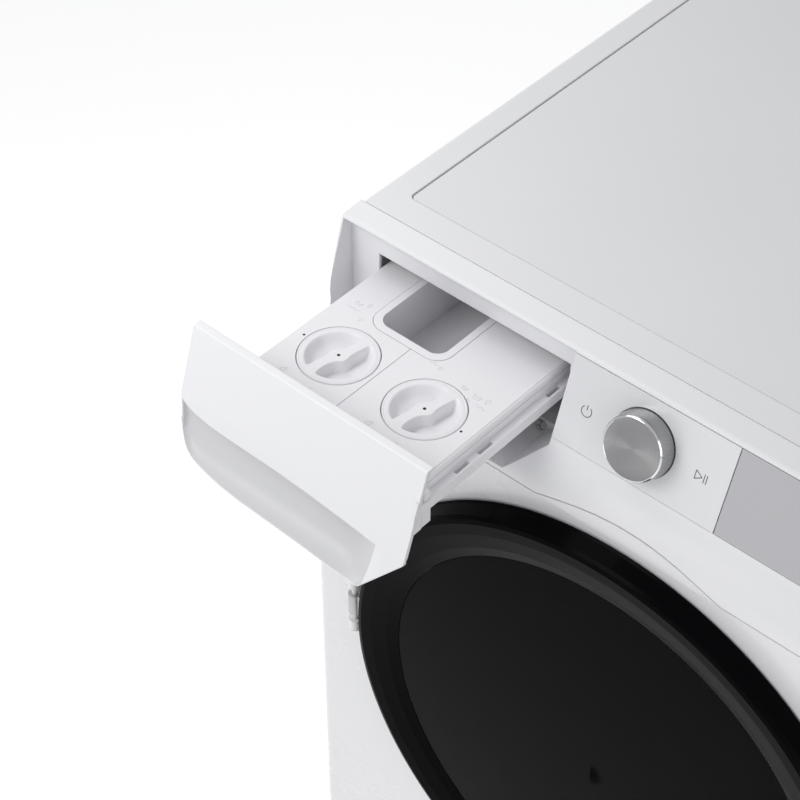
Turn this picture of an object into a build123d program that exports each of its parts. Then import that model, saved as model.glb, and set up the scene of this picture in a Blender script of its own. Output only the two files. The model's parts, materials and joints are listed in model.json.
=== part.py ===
from build123d import *
import math
import os

# Front load washing machine, built as separate pieces.  All lengths in millimetres.
# Appliance coordinates: X from the left side, Y from the lower front face towards the
# back, Z from the floor.  The row frame has its origin at the middle of the footprint.

os.makedirs("parts", exist_ok=True)

# ---------------------------------------------------------------- driving dimensions
WIDTH = 600.0            # cabinet width
HEIGHT = 850.0           # floor to worktop
BACK_Y = 588.0           # front of the rear panel
SHEET = 1.2              # steel sheet
MID_X = WIDTH / 2
MID_Y = 226.37           # middle of the footprint, drawer pulled out

DRAWER_OUT = 153.0       # how far the drawer stands out
TILT_TOP = (42.2, 846.0)     # control face, upper edge (Y, Z)
TILT_LOW = (20.0, 779.5)     # control face, lower edge
SEAM_Z = 742.0           # joint between control fascia and front panel
SEAM_R = 258.5           # arch of that joint, concentric with the door
PANEL_X0, PANEL_X1 = 217.4, 354.2
DRAWER_X0, DRAWER_X1 = 2.3, 216.2
BAND_Y = 50.5            # depth of the pocket that the drawer front fills
BAND_Z = 822.4           # top of the drawer aperture

DIAL_X, DIAL_Y, DIAL_Z = 286.0, 30.7, 812.0
DIAL_R, DIAL_H = 25.2, 15.0

AXIS_Z = 496.0           # door, tub and drum axis
DOOR_R = 242.0
DOOR_FRONT = -19.0
HINGE_X, HINGE_Y = 50.0, -6.2
DRUM_R, DRUM_Y0, DRUM_Y1 = 232.0, 78.0, 445.0
TUB_R, TUB_Y0, TUB_SPLIT, TUB_Y1 = 245.0, 62.0, 250.0, 470.0
PULLEY_R, PULLEY_Y0, PULLEY_Y1 = 140.0, 548.0, 566.0
MOTOR_Z, MOTOR_R, MOTOR_PULLEY_R = 178.0, 60.0, 10.0

CAP_R = 30.0
CAP_XY = [(72.0, 112.7), (152.8, 112.2)]     # drawer shut
LID_Z = 810.0
TRAY_X0, TRAY_X1 = 32.0, 198.0

# ---------------------------------------------------------------- planes
def level(z, dy=0.0):
    """Horizontal sketch plane; local axes are X and Y."""
    return Plane(origin=(-MID_X, dy - MID_Y, z), x_dir=(1, 0, 0), z_dir=(0, 0, 1))


def facing(y, dy=0.0):
    """Upright plane facing the front; local axes are X and Z, and it extrudes forward."""
    return Plane(origin=(-MID_X, y + dy - MID_Y, 0), x_dir=(1, 0, 0), z_dir=(0, -1, 0))


def across(x, dy=0.0):
    """Upright plane facing the right side; local axes are Y and Z."""
    return Plane(origin=(x - MID_X, dy - MID_Y, 0), x_dir=(0, 1, 0), z_dir=(1, 0, 0))


def put(x, y, z, normal, x_dir=(1, 0, 0)):
    return Plane(origin=(x - MID_X, y - MID_Y, z), x_dir=x_dir, z_dir=normal)


def axis_y(x, z):
    return Axis((x - MID_X, 0, z), (0, 1, 0))


def slab(x0, x1, y0, y1, z0, z1, mode=Mode.ADD, dy=0.0, r=0.0):
    """A plate between the given limits, with rounded upright corners when r is set."""
    with BuildSketch(level(z0, dy)) as sk:
        with Locations(((x0 + x1) / 2, (y0 + y1) / 2)):
            if r:
                RectangleRounded(x1 - x0, y1 - y0, r)
            else:
                Rectangle(x1 - x0, y1 - y0)
    extrude(sk.sketch, amount=z1 - z0, mode=mode)


def panel(points, y0, y1, mode=Mode.ADD, dy=0.0):
    """An upright outline in X and Z, from depth y0 back to y1."""
    with BuildSketch(facing(y1, dy)) as sk:
        with BuildLine():
            Polyline(*points, close=True)
        make_face()
    extrude(sk.sketch, amount=y1 - y0, mode=mode)


def profile(points, x0, x1, mode=Mode.ADD, dy=0.0):
    """An outline in Y and Z, from x0 across to x1."""
    with BuildSketch(across(x0, dy)) as sk:
        with BuildLine():
            Polyline(*points, close=True)
        make_face()
    extrude(sk.sketch, amount=x1 - x0, mode=mode)


def rod(x, z, r, y0, y1, mode=Mode.ADD, dy=0.0):
    """A round bar along Y."""
    with BuildSketch(facing(y1, dy)) as sk:
        with Locations((x, z)):
            Circle(r)
    extrude(sk.sketch, amount=y1 - y0, mode=mode)


def post(x, y, r, z0, z1, mode=Mode.ADD, dy=0.0):
    """A round bar along Z."""
    with BuildSketch(level(z0, dy)) as sk:
        with Locations((x, y)):
            Circle(r)
    extrude(sk.sketch, amount=z1 - z0, mode=mode)


def spun(points, x=MID_X, z=AXIS_Z, mode=Mode.ADD):
    """A turned shape about the Y axis through (x, z); points are (Y, radius)."""
    with BuildSketch(across(x)) as sk:
        with BuildLine():
            Polyline(*[(y, z + r) for y, r in points], close=True)
        make_face()
    revolve(sk.sketch, axis=axis_y(x, z), revolution_arc=360, mode=mode)


def face_y(z):
    """Depth of the tilted control face at height z."""
    (y1, z1), (y0, z0) = TILT_TOP, TILT_LOW
    return y0 + (z - z0) * (y1 - y0) / (z1 - z0)


TILT = math.atan2(TILT_TOP[0] - TILT_LOW[0], TILT_TOP[1] - TILT_LOW[1])
NORMAL = (0, -math.cos(TILT), math.sin(TILT))


def front_y(z):
    """Depth of the fascia's front surface at height z: the tilted face, then the flare to the seam."""
    if z >= TILT_LOW[1]:
        return face_y(z)
    lo, hi = 0.0, 1.0
    zs = (TILT_LOW[1], TILT_LOW[1] - 15 * math.cos(TILT), SEAM_Z + 15.5, SEAM_Z)
    ys = (TILT_LOW[0], TILT_LOW[0] - 15 * math.sin(TILT), 0.0, 0.0)
    for _ in range(40):
        t = (lo + hi) / 2
        w = ((1 - t) ** 3, 3 * t * (1 - t) ** 2, 3 * t * t * (1 - t), t ** 3)
        if sum(a * b for a, b in zip(w, zs)) > z:
            lo = t
        else:
            hi = t
    return sum(a * b for a, b in zip(w, ys))



def wedge(back, shift, x0, x1, z_low=SEAM_Z, mode=Mode.ADD, dy=0.0, top=846.0):
    """Everything behind the control face as far as depth back, the face moved in by shift."""
    ty, tz = face_y(top) + shift, top
    with BuildSketch(across(x0, dy)) as sk:
        with BuildLine():
            low = (TILT_LOW[0] + shift, TILT_LOW[1])
            Line((ty, tz), low)
            Bezier(low, (low[0] - 15 * math.sin(TILT), low[1] - 15 * math.cos(TILT)), (shift, SEAM_Z + 15.5), (shift, SEAM_Z))
            if z_low < SEAM_Z:
                Line((shift, SEAM_Z), (shift, z_low))
            Polyline((shift, z_low), (back, z_low), (back, tz), (ty, tz))
        make_face()
    extrude(sk.sketch, amount=x1 - x0, mode=mode)


def seam_region(grow, y0, y1, mode):
    """The front panel's outline: a flat shoulder with an arch over the door."""
    with BuildSketch(facing(y1)) as sk:
        with Locations((MID_X, 300)):
            Rectangle(700, 2 * (SEAM_Z - 300 + grow))
        with Locations((MID_X, AXIS_Z)):
            Circle(SEAM_R + grow)
        corners = [v for v in sk.vertices() if abs(v.Z - (SEAM_Z + grow)) < 0.2 and abs(v.X) < 120]
        fillet(corners, 90)
    extrude(sk.sketch, amount=y1 - y0, mode=mode)


# ================================================================ cabinet
with BuildPart() as left_side_panel:
    slab(0, 1.0, 26, 587.6, 22, 819.4)
    slab(0, 13, 26, 27, 22, 819.4)
    slab(0, 13, 586.6, 587.6, 22, 819.4)
    slab(0, 11, 26, 587.6, 22, 23)
    slab(-1, 14, 25, 63.6, SEAM_Z - 0.4, 820, Mode.SUBTRACT)
left_side_panel.part.label = "left_side_panel"
export_step(left_side_panel.part, "parts/left_side_panel.step")

with BuildPart() as right_side_panel:
    slab(599, 600, 26, 587.6, 22, 819.4)
    slab(587, 600, 26, 27, 22, 819.4)
    slab(587, 600, 586.6, 587.6, 22, 819.4)
    slab(589, 600, 26, 587.6, 22, 23)
    slab(586, 601, 25, 63.6, SEAM_Z - 0.4, 820, Mode.SUBTRACT)
right_side_panel.part.label = "right_side_panel"
export_step(right_side_panel.part, "parts/right_side_panel.step")

with BuildPart() as rear_panel:
    slab(1, 599, 588, 589, 22, 819.4)
    with BuildSketch(facing(592)) as service_hole:
        with Locations((MID_X, 400)):
            RectangleRounded(360, 470, 60)
    extrude(service_hole.sketch, amount=10, mode=Mode.SUBTRACT)
    for cx, cz in ((60, 250), (540, 250), (60, 640), (540, 640)):
        rod(cx, cz, 9, 585, 592, Mode.SUBTRACT)
    rod(520, 780, 15, 585, 592, Mode.SUBTRACT)
    rod(80, 760, 12.5, 585, 592, Mode.SUBTRACT)
    rod(60, 120, 9.2, 585, 592, Mode.SUBTRACT)
rear_panel.part.label = "rear_panel"
export_step(rear_panel.part, "parts/rear_panel.step")

with BuildPart() as rear_service_cover:
    with BuildSketch(facing(592.4)) as cover_outline:
        with Locations((MID_X, 400)):
            RectangleRounded(396, 506, 72)
    extrude(cover_outline.sketch, amount=3.2)
    with BuildSketch(facing(591.4)) as cover_inside:
        with Locations((MID_X, 400)):
            RectangleRounded(354, 464, 56)
    extrude(cover_inside.sketch, amount=4, mode=Mode.SUBTRACT)
    for sx, sz in ((112, 400), (488, 400), (180, 640), (420, 640), (180, 160), (420, 160)):
        rod(sx, sz, 2.4, 586, 594, Mode.SUBTRACT)
rear_service_cover.part.label = "rear_service_cover"
export_step(rear_service_cover.part, "parts/rear_service_cover.step")

with BuildPart() as rear_cover_screws:
    for sx, sz in ((112, 400), (488, 400), (180, 640), (420, 640), (180, 160), (420, 160)):
        rod(sx, sz, 4.5, 592.45, 595.4)
        rod(sx, sz, 2.0, 589.05, 592.6)
        with BuildSketch(facing(596)) as cross_cut:
            with Locations((sx, sz)):
                Rectangle(5.6, 1.1)
                Rectangle(1.1, 5.6)
        extrude(cross_cut.sketch, amount=2.0, mode=Mode.SUBTRACT)
rear_cover_screws.part.label = "rear_cover_screws"
export_step(rear_cover_screws.part, "parts/rear_cover_screws.step")

with BuildPart() as transport_bolt_caps:
    for cx, cz in ((60, 250), (540, 250), (60, 640), (540, 640)):
        rod(cx, cz, 14, 589.1, 592.6)
        rod(cx, cz, 8.8, 582, 589.3)
        rod(cx, cz, 6.6, 581, 591, Mode.SUBTRACT)
transport_bolt_caps.part.label = "transport_bolt_caps"
export_step(transport_bolt_caps.part, "parts/transport_bolt_caps.step")

# Lower front panel: folded sheet with a rolled upper arch, a door hole and a service opening.
with BuildPart() as lower_front_panel:
    wedge(34, 0.0, 170, 430, z_low=735.0, top=790.0)
    wedge(36, SHEET, 169, 431, z_low=734.0, mode=Mode.SUBTRACT, top=791.0)
    seam_region(-0.35, -10, 40, Mode.INTERSECT)
    with BuildSketch(level(24)) as skin:
        with Locations((MID_X, 25)):
            RectangleRounded(WIDTH, 50, 10)
        with Locations((MID_X, 25)):
            RectangleRounded(WIDTH - 2 * SHEET, 50 - 2 * SHEET, 10 - SHEET, mode=Mode.SUBTRACT)
        with Locations((MID_X, 25.6 + 20)):
            Rectangle(WIDTH + 10, 40, mode=Mode.SUBTRACT)
    extrude(skin.sketch, amount=SEAM_Z - 0.35 - 24)
    slab(8, 592, 0.4, 25.6, 24, 25.2)
    rod(MID_X, AXIS_Z, 185, -5, 8, Mode.SUBTRACT)
    spun([(0.3, 184), (16, 184), (16, 185.2), (1.2, 185.2), (0.3, 186.2)])
    for kz in (470, 522):
        panel([(43.4, kz - 7), (56.6, kz - 7), (56.6, kz + 7), (43.4, kz + 7)], -2, 4, Mode.SUBTRACT)
    panel([(40, 33.9), (190, 33.9), (190, 136), (40, 136)], -2, 4, Mode.SUBTRACT)
    panel([(516, 482), (537, 482), (537, 510), (516, 510)], -2, 4, Mode.SUBTRACT)
lower_front_panel.part.label = "lower_front_panel"
export_step(lower_front_panel.part, "parts/lower_front_panel.step")

with BuildPart() as base_frame:
    slab(13.5, 586.5, 28, 586, 24, 26)
    slab(13.5, 586.5, 28, 30, 26, 44)
    slab(13.5, 586.5, 584, 586, 26, 44)
    slab(13.5, 15.5, 28, 586, 26, 44)
    slab(584.5, 586.5, 28, 586, 26, 44)
    slab(296, 304, 30, 584, 26, 34)
    for fx, fy in ((45, 66), (555, 66), (45, 548), (555, 548)):
        post(fx, fy, 16, 26, 40)
        post(fx, fy, 5.3, 20, 50, Mode.SUBTRACT)
    slab(60, 180, 26, 30.5, 25.9, 60, Mode.SUBTRACT)
base_frame.part.label = "base_frame"
export_step(base_frame.part, "parts/base_frame.step")

with BuildPart() as levelling_feet:
    for fx, fy in ((45, 66), (555, 66), (45, 548), (555, 548)):
        post(fx, fy, 22, 0, 9)
        post(fx, fy, 16, 9, 14.5)
        post(fx, fy, 5.0, 14.5, 46)
    chamfer(levelling_feet.edges().filter_by(GeomType.CIRCLE).group_by(Axis.Z)[0], 1.2)
levelling_feet.part.label = "levelling_feet"
export_step(levelling_feet.part, "parts/levelling_feet.step")

with BuildPart() as foot_locknuts:
    for fx, fy in ((45, 66), (555, 66), (45, 548), (555, 548)):
        with BuildSketch(level(17)) as nut_outline:
            with Locations((fx, fy)):
                RegularPolygon(9.8, 6)
                Circle(5.25, mode=Mode.SUBTRACT)
        extrude(nut_outline.sketch, amount=6.6)
foot_locknuts.part.label = "foot_locknuts"
export_step(foot_locknuts.part, "parts/foot_locknuts.step")

# Worktop frame and its recessed plate.
with BuildPart() as top_cover:
    slab(0, 600, 63.5, 592, 820, 850)
    fillet(top_cover.edges().group_by(Axis.Z)[-1].filter_by(Axis.Y), 6.0)
    fillet(top_cover.edges().filter_by(Axis.Z).sort_by(Axis.Y)[-2:], 8.0)
    slab(24.3, 575.7, 88.7, 570, 846.4, 851, Mode.SUBTRACT, r=5)
    slab(40, 560, 104, 554, 842, 851, Mode.SUBTRACT, r=4)
    slab(2.5, 597.5, 66, 589.5, 819, 843.2, Mode.SUBTRACT)
    slab(18, 213, 63, 67, 819, 832.5, Mode.SUBTRACT)
top_cover.part.label = "top_cover"
export_step(top_cover.part, "parts/top_cover.step")

with BuildPart() as top_plate:
    slab(25.1, 574.9, 89.5, 569.2, 846.5, 849.2, r=4.4)
    fillet(top_plate.edges().group_by(Axis.Z)[-1], 0.8)
top_plate.part.label = "top_plate"
export_step(top_plate.part, "parts/top_plate.step")

# ================================================================ control fascia
# Rounded upright ends of the fascia: the radius grows where the front flares out.
END_RADIUS = [(741.0, 10.0), (748.0, 12.0), (756.0, 15.0), (764.0, 17.0), (772.0, 16.0), (779.5, 12.6), (787.0, 8.2), (796.0, 4.6), (812.0, 2.0), (851.0, 2.0)]
with BuildPart() as fascia_end_cut:
    for side in (0, 1):
        rings = []
        for ez, er in END_RADIUS:
            ef = front_y(min(ez, 846.0))
            ex = (lambda u: u) if side == 0 else (lambda u: WIDTH - u)
            with BuildSketch(level(ez)) as end_section:
                with BuildLine():
                    ThreePointArc((ex(er), ef), (ex(er * (1 - 0.70711)), ef + er * (1 - 0.70711)), (ex(0), ef + er))
                    Polyline((ex(0), ef + er), (ex(-12), ef + er), (ex(-12), -45), (ex(er), -45), (ex(er), ef))
                make_face()
            rings.append(end_section.sketch)
        loft(rings, ruled=True)

with BuildPart() as control_fascia:
    wedge(53, 0.0, 0, 219.4)
    panel([(1.8, 746.2), (190.2, 746.2), (217.2, 774.2), (217.2, 846.35), (1.8, 846.35)], -20, BAND_Y, Mode.SUBTRACT)
    panel([(-5, 740), (1.8, 740), (1.8, 848), (-5, 848)], 53, 63)
    profile([(-4, 741), (25.6, 741), (25.6, 790), (27.0, 799), (-4, 799)], -1, 1.81, Mode.SUBTRACT)
    profile([(-4, 799), (27.0, 799), (42.2, 846), (-4, 846)], -1, 1.81, Mode.SUBTRACT)
    wedge(53, 0.0, 217.2, 600)
    wedge(70, 2.6, 219.4, 578.0, z_low=741, mode=Mode.SUBTRACT, top=846.01)
    wedge(70, 23.0, 577.9, 597.6, z_low=741, mode=Mode.SUBTRACT, top=846.01)
    # top strip
    profile([(TILT_TOP[0], 846.0), (63.1, 846.0), (63.1, 849.9), (45.0, 848.3), (43.2, 847.6)], 0, 600)
    profile([(60.5, 843.0), (63.1, 843.0), (63.1, 847.0), (60.5, 847.0)], 3, 597)
    # drawer aperture
    panel([(29, 756), (207.5, 756), (207.5, BAND_Z), (29, BAND_Z)], 40, 60, Mode.SUBTRACT)
    # round the upright corner at the right and left ends
    slab(-6, 0, 40, 70, 700, 860, Mode.SUBTRACT)
    # pocket that the control plate and the display sit in
    n = (math.sin(TILT), math.cos(TILT))
    pocket = []
    for z, d in ((780.2, -0.5), (845.4, -0.5), (845.4, 1.6), (780.2, 1.6)):
        pocket.append((face_y(z) + d * math.cos(TILT), z - d * math.sin(TILT)))
    profile(pocket, 217.1, 575.6, Mode.SUBTRACT)
    with BuildSketch(put(DIAL_X, DIAL_Y, DIAL_Z, NORMAL).offset(-12)) as dial_hole:
        Circle(7.0)
    extrude(dial_hole.sketch, amount=24, mode=Mode.SUBTRACT)
    seam_region(0.35, -30, 80, Mode.SUBTRACT)
    rod(186.6, 751.2, 2.2, 45, 55, Mode.SUBTRACT)
    add(fascia_end_cut.part, mode=Mode.SUBTRACT)
control_fascia.part.label = "control_fascia"
export_step(control_fascia.part, "parts/control_fascia.step")


def tilted_plate(x0, x1, z0, z1, front, back, mode=Mode.ADD):
    """A plate in the control face, between depths front and back measured square to it."""
    pts = []
    for z, d in ((z0, front), (z1, front), (z1, back), (z0, back)):
        pts.append((face_y(z) + d * math.cos(TILT), z - d * math.sin(TILT)))
    profile(pts, x0, x1, mode)


with BuildPart() as control_plate:
    tilted_plate(PANEL_X0, PANEL_X1, 780.6, 845.0, -0.3, 1.5)
    with BuildSketch(put(DIAL_X, DIAL_Y, DIAL_Z, NORMAL).offset(-12)) as plate_hole:
        Circle(7.0)
    extrude(plate_hole.sketch, amount=24, mode=Mode.SUBTRACT)
control_plate.part.label = "control_plate"
export_step(control_plate.part, "parts/control_plate.step")

with BuildPart() as display_window:
    tilted_plate(355.0, 575.2, 780.6, 845.0, -0.1, 1.5)
display_window.part.label = "display_window"
export_step(display_window.part, "parts/display_window.step")

with BuildPart() as control_board:
    tilted_plate(232, 560, 786, 838, 14.0, 15.6)
    with BuildSketch(put(DIAL_X, DIAL_Y, DIAL_Z, NORMAL).offset(-18)) as board_hole:
        Circle(4.2)
    extrude(board_hole.sketch, amount=10, mode=Mode.SUBTRACT)
    tilted_plate(380, 545, 792, 834, 8.0, 14.1)
    with BuildSketch(put(DIAL_X, DIAL_Y, DIAL_Z, NORMAL).offset(-14.2)) as encoder_body:
        Rectangle(16, 14)
        Circle(3.06, mode=Mode.SUBTRACT)
    extrude(encoder_body.sketch, amount=7.5)
control_board.part.label = "control_board"
export_step(control_board.part, "parts/control_board.step")

with BuildPart() as dial_knob:
    dial_plane = put(DIAL_X, DIAL_Y, DIAL_Z, NORMAL)
    with BuildSketch(dial_plane.offset(0.9)) as dial_body:
        Circle(DIAL_R)
    extrude(dial_body.sketch, amount=DIAL_H - 0.9)
    chamfer(dial_knob.edges().filter_by(GeomType.CIRCLE).sort_by(Axis.Y)[0], 1.2, 1.6)
    with BuildSketch(dial_plane.offset(0.8)) as dial_hollow:
        Circle(DIAL_R - 2.5)
        Circle(6.4, mode=Mode.SUBTRACT)
    extrude(dial_hollow.sketch, amount=DIAL_H - 4.8, mode=Mode.SUBTRACT)
    with BuildSketch(dial_plane.offset(-13)) as dial_shaft:
        Circle(3.0)
    extrude(dial_shaft.sketch, amount=16)
dial_knob.part.label = "dial_knob"
export_step(dial_knob.part, "parts/dial_knob.step")

with BuildPart() as recess_screw:
    with BuildSketch(facing(BAND_Y - 0.05)) as screw_head:
        with Locations((186.6, 751.2)):
            RegularPolygon(4.3, 6)
    extrude(screw_head.sketch, amount=3.6)
    rod(186.6, 751.2, 2.0, BAND_Y - 1, BAND_Y + 12)
    with BuildSketch(facing(BAND_Y - 2.2)) as screw_cross:
        with Locations((186.6, 751.2)):
            Rectangle(4.6, 1.0)
            Rectangle(1.0, 4.6)
    extrude(screw_cross.sketch, amount=3, mode=Mode.SUBTRACT)
recess_screw.part.label = "recess_screw"
export_step(recess_screw.part, "parts/recess_screw.step")

# ================================================================ detergent drawer
D = -DRAWER_OUT

# plan outline of the lower lip, and height of the crease above the finger scoop
LIP = [(-2.0, 27.5), (2.3, 22.5), (7.0, 18.0), (15.7, 13.7), (27.5, 11.0), (43.0, 8.2), (57.0, 6.4), (75.0, 5.2),
       (105.0, 4.6), (135.0, 3.8), (160.0, 2.6), (190.0, 1.8), (222.0, 1.0)]
CREASE = [(3.0, 790.4), (6.2, 788.2), (12.9, 785.3), (23.4, 783.4), (48.0, 782.1), (93.0, 781.8), (121.0, 781.0), (168.0, 778.6), (190.0, 777.2), (216.0, 774.2)]


def along(table, x):
    for (xa, va), (xb, vb) in zip(table, table[1:]):
        if x <= xb:
            return va + (vb - va) * max(0.0, x - xa) / (xb - xa)
    return table[-1][1]


with BuildPart() as lip_trim:
    with BuildSketch(level(730, D)) as in_front_of_lip:
        with BuildLine():
            Spline(*LIP)
            Polyline(LIP[-1], (222, -40), (-2, -40), LIP[0])
        make_face()
    extrude(in_front_of_lip.sketch, amount=72)

with BuildPart() as scoop_cut:
    scoops = []
    for sx, depth in ((3.0, 0.72), (9.0, 0.95), (20.0, 1.0), (48.0, 1.0), (93.0, 1.0), (130.0, 1.0), (160.0, 0.95), (178.0, 0.7), (198.0, 0.24), (218.0, 0.02)):
        c = along(CREASE, sx)
        fy = face_y(c)
        ly = along(LIP, sx) - 0.6
        lz = 749.0 + max(0.0, sx - 189.4) * 0.98
        with BuildSketch(across(sx, D)) as scoop:
            with BuildLine():
                pts = [(fy - 0.05, c)]
                for t, bulge in ((0.12, 4.2), (0.3, 9.6), (0.5, 12.6), (0.7, 11.8), (0.88, 6.8)):
                    pts.append((fy + (ly - fy) * t + bulge * depth, c + (lz - c) * t))
                pts.append((ly, lz))
                Polyline(*pts, (-45, lz - 1.0), (-45, c), close=True)
            make_face()
        scoops.append(scoop.sketch)
    loft(scoops, ruled=True)
    with BuildSketch(facing(60, D)) as scoop_opening:
        with BuildLine():
            Polyline((4.3, 771.0), (4.3, 789.2), (6.2, 788.1), (12.9, 785.2), (23.4, 783.3), (48.0, 782.0), (93.0, 781.7), (121.0, 780.9), (168.0, 778.5), (190.0, 777.1), (214.6, 774.6), (188.8, 749.0), (27.0, 749.0))
            ThreePointArc((27.0, 749.0), (10.9, 755.4), (4.3, 771.0))
        make_face()
    extrude(scoop_opening.sketch, amount=110, mode=Mode.INTERSECT)

with BuildPart() as drawer_front:
    wedge(48.6, 0.0, DRAWER_X0, DRAWER_X1, z_low=SEAM_Z, dy=D)
    # outline: rounded lower left corner, slanted lower right corner
    with BuildSketch(facing(60, D)) as front_outline:
        with BuildLine():
            Polyline((DRAWER_X0, 770.0), (DRAWER_X0, 846.0), (DRAWER_X1, 846.0), (DRAWER_X1, 774.6), (189.4, 747.2), (26.0, 747.2))
            ThreePointArc((26.0, 747.2), (9.2, 753.8), (DRAWER_X0, 770.0))
        make_face()
    extrude(front_outline.sketch, amount=90, mode=Mode.INTERSECT)
    add(lip_trim.part, mode=Mode.SUBTRACT)
    add(scoop_cut.part, mode=Mode.SUBTRACT)
    # hollow back behind the face, and clearance for the screw in the fascia
    profile([(49.5, 794.0), (31.0, 794.0), (44.5, 834.5), (44.5, 842.0), (49.5, 842.0)], 6.0, 212.0, Mode.SUBTRACT, dy=D)
    slab(20.0, 180.0, 40.0, 60.0, 752.0, 788.0, Mode.SUBTRACT, dy=D)
    rod(186.6, 751.2, 6.4, 38.0, 60.0, Mode.SUBTRACT, dy=D)
    # the right end is a thin shell with one small gusset
    shell_line = [(60, 740), (9.0, 740), (9.0, 760), (18.0, 768), (24.2, 776.4), (24.9, 779.5), (face_y(842) + 3.3, 842), (60, 842)]
    profile(shell_line, 201.0, 218.0, Mode.SUBTRACT, dy=D)
    profile([(24.0, 796.3), (35.7, 796.2), (37.1, 798.0), (36.9, 812.6), (33.4, 823.3), (28.0, 815.0)], 213.4, 216.0, dy=D)
drawer_front.part.label = "drawer_front"
export_step(drawer_front.part, "parts/drawer_front.step")

with BuildPart() as drawer_tray:
    slab(TRAY_X0, TRAY_X1, 49.2, 330, 762, 806, dy=D)
    # two liquid tanks at the front, powder compartment and flushing trough behind
    slab(34.4, 104.4, 51.6, 150, 764.4, 807, Mode.SUBTRACT, dy=D, r=5)
    slab(107.0, 195.6, 51.6, 150, 764.4, 807, Mode.SUBTRACT, dy=D, r=5)
    slab(34.4, 63.0, 153, 327.6, 764.4, 807, Mode.SUBTRACT, dy=D, r=5)
    slab(131.6, 195.6, 153, 327.6, 764.4, 807, Mode.SUBTRACT, dy=D, r=5)
    slab(66.0, 128.6, 156, 320, 765.5, 807, Mode.SUBTRACT, dy=D, r=12)
    # the right tank wall slopes inward to the floor
    panel([(198.0, 788.0), (198.0, 783.0), (181.0, 762.0), (177.6, 762.0), (177.6, 764.9), (179.4, 764.9), (195.4, 784.6), (195.4, 788.0)], 49.2, 330, dy=D)
    panel([(198.6, 783.7), (181.0, 762.0), (181.0, 760.0), (198.6, 760.0)], 49.0, 331, Mode.SUBTRACT, dy=D)
    # side runners
    slab(TRAY_X1 - 0.5, 204.5, 49.2, 330, 790, 799, dy=D)
    slab(29.6, TRAY_X0 + 0.5, 49.2, 330, 790, 799, dy=D)
    for y0, y1 in ((88.0, 102.0), (112.5, 126.5), (187.0, 200.0)):
        slab(199.4, 202.6, y0, y1, 789, 800, Mode.SUBTRACT, dy=D)
    # bracket behind the drawer front
    slab(197.5, 203.4, 49.2, 60.5, 776, 790.2, dy=D)
    slab(199.8, 203.4, 54.0, 60.5, 789.0, 805.8, dy=D)
drawer_tray.part.label = "drawer_tray"
export_step(drawer_tray.part, "parts/drawer_tray.step")

for lid_name, lx0, lx1, (hx, hy) in (("left_tank_lid", 31.2, 105.4, CAP_XY[0]), ("right_tank_lid", 106.0, 194.6, CAP_XY[1])):
    with BuildPart() as tank_lid:
        if lid_name == "left_tank_lid":
            panel_y1 = 330.0
            slab(lx0, lx1, 49.2, 180, 806.1, LID_Z, dy=D)
            slab(lx0, 62.6, 151.0, panel_y1, 806.1, LID_Z, dy=D)
        else:
            slab(lx0, lx1, 49.2, 180, 806.1, LID_Z, dy=D)
            slab(132.0, lx1, 151.0, 330, 806.1, LID_Z, dy=D)
        slab(61.7, 132.9, 151.3, 360, 800, 815, Mode.SUBTRACT, dy=D, r=14.3)
        post(hx, hy, CAP_R + 0.45, 780, 830, Mode.SUBTRACT, dy=D)
        with BuildSketch(level(797.0, D)) as neck:
            with Locations((hx, hy)):
                Circle(CAP_R + 2.2)
                Circle(CAP_R + 0.45, mode=Mode.SUBTRACT)
        extrude(neck.sketch, amount=9.2)
    tank_lid.part.label = lid_name
    export_step(tank_lid.part, "parts/" + lid_name + ".step")

with BuildPart() as powder_insert:
    slab(62.0, 132.6, 151.6, 329.4, 806.2, LID_Z + 0.2, dy=D, r=14)
    with BuildSketch(level(765.7, D)) as well:
        with Locations(((66.3 + 128.3) / 2, (156.3 + 319.7) / 2)):
            RectangleRounded(62.0, 163.4, 11.7)
    extrude(well.sketch, amount=LID_Z - 765.7 - 0.2)
    slab(67.9, 126.7, 157.9, 318.1, 767.3, 815, Mode.SUBTRACT, dy=D, r=10.2)
powder_insert.part.label = "powder_insert"
export_step(powder_insert.part, "parts/powder_insert.step")

for cap_name, (hx, hy) in (("left_tank_cap", CAP_XY[0]), ("right_tank_cap", CAP_XY[1])):
    with BuildPart() as tank_cap:
        post(hx, hy, CAP_R - 0.1, 797.6, LID_Z + 0.4, dy=D)
        fillet(tank_cap.edges().filter_by(GeomType.CIRCLE).group_by(Axis.Z)[-1], 0.6)
        # two D-shaped finger hollows, leaving a waisted grip bar
        with BuildSketch(level(800.0, D)) as hollows:
            with Locations((hx, hy)):
                Circle(CAP_R - 6.0)
                with Locations((0, 0)):
                    Rectangle(9.0, 70, rotation=-12, mode=Mode.SUBTRACT)
                    Circle(6.2, mode=Mode.SUBTRACT)
            fillet(hollows.vertices(), 1.6)
        extrude(hollows.sketch, amount=14, mode=Mode.SUBTRACT)
        post(hx, hy, 1.2, 802, 815, Mode.SUBTRACT, dy=D)
    tank_cap.part.label = cap_name
    export_step(tank_cap.part, "parts/" + cap_name + ".step")

with BuildPart() as dispenser_housing:
    slab(19, 212, 53.2, 350, 754, 832)
    slab(21, 210, 50, 348, 756, 830, Mode.SUBTRACT)
    # runner grooves
    slab(20.5, 31.4, 53.2, 348, 786, 789.4)
    slab(205.2, 210, 53.2, 348, 786, 789.4)
    slab(60, 180, 120, 300, 829, 834, Mode.SUBTRACT)
dispenser_housing.part.label = "dispenser_housing"
export_step(dispenser_housing.part, "parts/dispenser_housing.step")

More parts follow.
